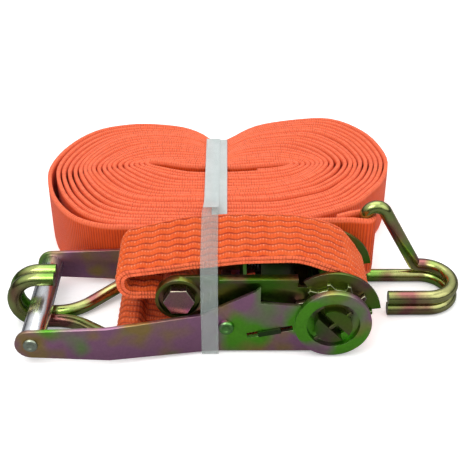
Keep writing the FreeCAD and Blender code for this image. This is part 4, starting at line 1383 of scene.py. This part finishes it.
@dataclass(frozen=True)
class Metalwork:
    """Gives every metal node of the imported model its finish."""

    edges: RoundedEdges = RoundedEdges()
    rivet_radius: float = 5.4
    grip_rivet_radius: float = 5.2
    springs: tuple[PawlSprings, ...] = (
        PawlSprings("frame_pawl_springs", "frame_pawl_slide", 61.6),
        PawlSprings("handle_pawl_springs", "handle_pawl_slide", 64.3))
    rounded: tuple[str, ...] = (
        "handle_plate_near", "handle_plate_far", "frame_plate_near", "frame_plate_far",
        "frame_bolt", "grip_bar", "ratchet_wheel_near", "ratchet_wheel_far",
        "spindle_rod_upper", "spindle_rod_lower")

    def dress(self, frame: dict, datum: Datum, effects: Effects) -> None:
        """Put a finish on each metal node.

        Args:
            datum: where the ratchet is.
            effects: the shared shader groups.
        """
        centre = tuple(datum.spindle)
        plate = PassivatedZinc("handle_zinc", base=(0.50, 0.34, 0.12), green=(0.16, 0.55, 0.035),
                               violet=(0.48, 0.23, 0.38), green_share=-0.05, violet_share=0.09,
                               centre=centre, reach=0.036, roughness=0.34)
        frame_zinc = PassivatedZinc("frame_zinc", base=(0.16, 0.20, 0.03),
                                    green=(0.07, 0.22, 0.01), violet=(0.20, 0.10, 0.09),
                                    green_share=0.08, violet_share=-0.02)
        wheel_zinc = PassivatedZinc("wheel_zinc", base=(0.14, 0.20, 0.03),
                                    green=(0.06, 0.20, 0.01), violet=(0.18, 0.10, 0.10),
                                    green_share=0.06)
        wire = PassivatedZinc("wire_zinc", "zinc_wire", base=(0.46, 0.46, 0.18),
                              green=(0.20, 0.40, 0.06), violet=(0.30, 0.11, 0.10),
                              green_share=0.07, roughness=0.14)
        bolt = PassivatedZinc("bolt_zinc", "zinc_bolt", base=(0.34, 0.18, 0.17),
                              green=(0.24, 0.24, 0.12), violet=(0.36, 0.15, 0.21),
                              violet_share=0.10, green_share=-0.05, roughness=0.24)
        pawl = PassivatedZinc("pawl_zinc", base=(0.07, 0.075, 0.045), green=(0.04, 0.09, 0.02),
                              violet=(0.09, 0.05, 0.06), roughness=0.38)
        bright = BrightZinc("grip_zinc")
        spring = PlainSteel("spring_wire")
        finishes = {
            plate: ("handle_plate_near", "handle_plate_far", "handle_cross_rod",
                    "handle_spring_seat"),
            frame_zinc: ("frame_plate_near", "frame_plate_far", "frame_spring_seat",
                         "bolt_spacer"),
            wheel_zinc: ("ratchet_wheel_near", "ratchet_wheel_far", "spindle_washer_near",
                         "spindle_washer_far", "spindle_rod_upper", "spindle_rod_lower",
                         "cotter_pin_near", "cotter_pin_far"),
            pawl: ("frame_pawl", "handle_pawl"),
            wire: ("hook_left", "hook_right"),
            bolt: ("frame_bolt", "bolt_nut"),
            bright: ("grip_bar",),
            spring: ("frame_pawl_springs", "handle_pawl_springs"),
        }
        for finish, names in finishes.items():
            material = finish.build(effects)
            for name in names:
                node = frame["nodes"][name]
                node.data.materials.clear()
                node.data.materials.append(material)
                if name in self.rounded:
                    shown = self.edges.build(node, material)
                LOG.info("%s: %s", name, finish.name)
        for springs in self.springs:
            springs.build(frame, datum)
        self._rivets(PassivatedZinc("rivet_zinc", "zinc_bolt", base=(0.40, 0.46, 0.36),
                                           green=(0.16, 0.40, 0.10), violet=(0.34, 0.22, 0.28),
                                           green_share=0.06, roughness=0.26).build(effects))

    def _rivets(self, material: bpy.types.Material) -> None:
        """The formed ends of the two rods that are riveted to the handle plates.

        Args:
            material: the finish of the heads.
        """
        for rod, name, radius in (("handle_cross_rod", "cross_rod_rivet", self.rivet_radius),
                                  ("grip_bar", "grip_rivet", self.grip_rivet_radius)):
            low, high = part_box(rod)
            middle = (low + high) / 2
            for end, y, way in (("near", low.y, -1), ("far", high.y, 1)):
                place = Vector((middle.x, y, middle.z))
                RivetHead(f"{name}_{end}", place, way, radius).build(material)


# ------------------------------------------------------------------ floor, light, camera
@dataclass
class Studio:
    """White floor, soft lights and the camera."""

    target: tuple[float, float, float] = (-67.17, 40.0, 49.58)
    elevation: float = 33.47
    azimuth: float = -0.39
    distance: float = 679.4
    lens: float = 69.47
    sensor: float = 36.0
    floor_half: float = 4.0

    def build(self, datum: Datum) -> None:
        """Make everything that isn't part of the object.

        Args:
            datum: where the ratchet is.
        """
        LOG.info("studio")
        self._floor()
        self._world()
        self._light("key", (-420, -520, 900), 0.55, 4.0, datum)
        self._light("fill", (620, -360, 520), 0.7, 1.2, datum)
        self._light("top", (-40, 260, 1000), 0.9, 3.0, datum)
        self._camera(datum)

    def _floor(self) -> None:
        """A wide pale plane under the object."""
        mesh = bpy.data.meshes.new("floor")
        half = self.floor_half
        mesh.from_pydata([(-half, -half, 0), (half, -half, 0), (half, half, 0), (-half, half, 0)],
                         [], [(0, 1, 2, 3)])
        mesh.materials.append(StudioFloor("studio_floor").build())
        put("floor", mesh)

    def _world(self) -> None:
        """Even white surroundings, darker towards the ground."""
        world = bpy.data.worlds.new("studio_world")
        world.use_nodes = True
        nodes = Nodes(world.node_tree)
        nodes.tree.nodes.clear()
        place = nodes.add("ShaderNodeTexCoord").outputs["Generated"]
        up = nodes.add("ShaderNodeSeparateXYZ", {0: place}).outputs[2]
        even = nodes.mix(nodes.spread(up, -0.1, 0.7), (0.86, 0.87, 0.90), (1.0, 1.0, 1.0))
        panels = nodes.mix(nodes.spread(up, 0.15, 0.75), (0.05, 0.055, 0.06), (1.3, 1.3, 1.3))
        glossy = nodes.add("ShaderNodeLightPath").outputs["Is Glossy Ray"]
        shade = nodes.mix(glossy, even, panels)
        background = nodes.add("ShaderNodeBackground", {"Color": shade, "Strength": 0.85})
        nodes.add("ShaderNodeOutputWorld", {"Surface": background.outputs[0]})
        bpy.context.scene.world = world

    def _light(self, name: str, place: tuple[float, float, float], size: float, power: float,
               datum: Datum) -> None:
        """An area light aimed at the ratchet.

        Args:
            name: the lamp's name.
            place: where it hangs, in millimetres from the datum.
            size: the side of its square, in metres.
            power: in watts.
            datum: where the ratchet is.
        """
        data = bpy.data.lights.new(name, "AREA")
        data.size = size
        data.energy = power
        lamp = put(name, data)
        lamp.location = datum.at(*place)
        aim = datum.at(*self.target) - lamp.location
        lamp.rotation_euler = aim.to_track_quat("-Z", "Y").to_euler()

    def _camera(self, datum: Datum) -> None:
        """The camera, looking down at the front.

        Args:
            datum: where the ratchet is.
        """
        up, side = math.radians(self.elevation), math.radians(self.azimuth)
        back = Vector((math.sin(side) * math.cos(up), -math.cos(side) * math.cos(up),
                       math.sin(up)))
        target = datum.at(*self.target)
        data = bpy.data.cameras.new("camera")
        data.lens = self.lens
        data.sensor_width = self.sensor
        camera = put("camera", data)
        camera.location = target + back * self.distance * MM
        camera.rotation_euler = (-back).to_track_quat("-Z", "Y").to_euler()
        bpy.context.scene.camera = camera


def main() -> None:
    """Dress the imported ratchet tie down."""
    logging.basicConfig(level=logging.INFO, format="%(name)s: %(message)s")
    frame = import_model()
    datum = Datum.from_frame(frame)
    effects = Effects()
    Metalwork().dress(frame, datum, effects)
    ShortStrap().build(datum, Webbing("short_strap_webbing", wave=0.8).build(effects))
    LongStrap().build(datum, Webbing("long_strap_webbing", colour=(0.66, 0.060, 0.003),
                                     edge=(0.91, 0.165, 0.070), faded=(0.82, 0.13, 0.025),
                                     rib_share=0.15, weft_share=0.85, bump=0.35).build(effects))
    # the band over the ratchet has a more see-through finish, darker in colour as painted shade
    Band().build(datum, OpenBand("band_weave").build(effects),
                 OpenBand("band_weave_open_shaded", colour=(0.46, 0.52, 0.49),
                          shade=(0.36, 0.42, 0.39), solid_share=0.36, open_share=0.12).build(effects))
    Studio().build(datum)
    bpy.context.scene.view_settings.view_transform = "Standard"


if __name__ == "__main__":
    main()
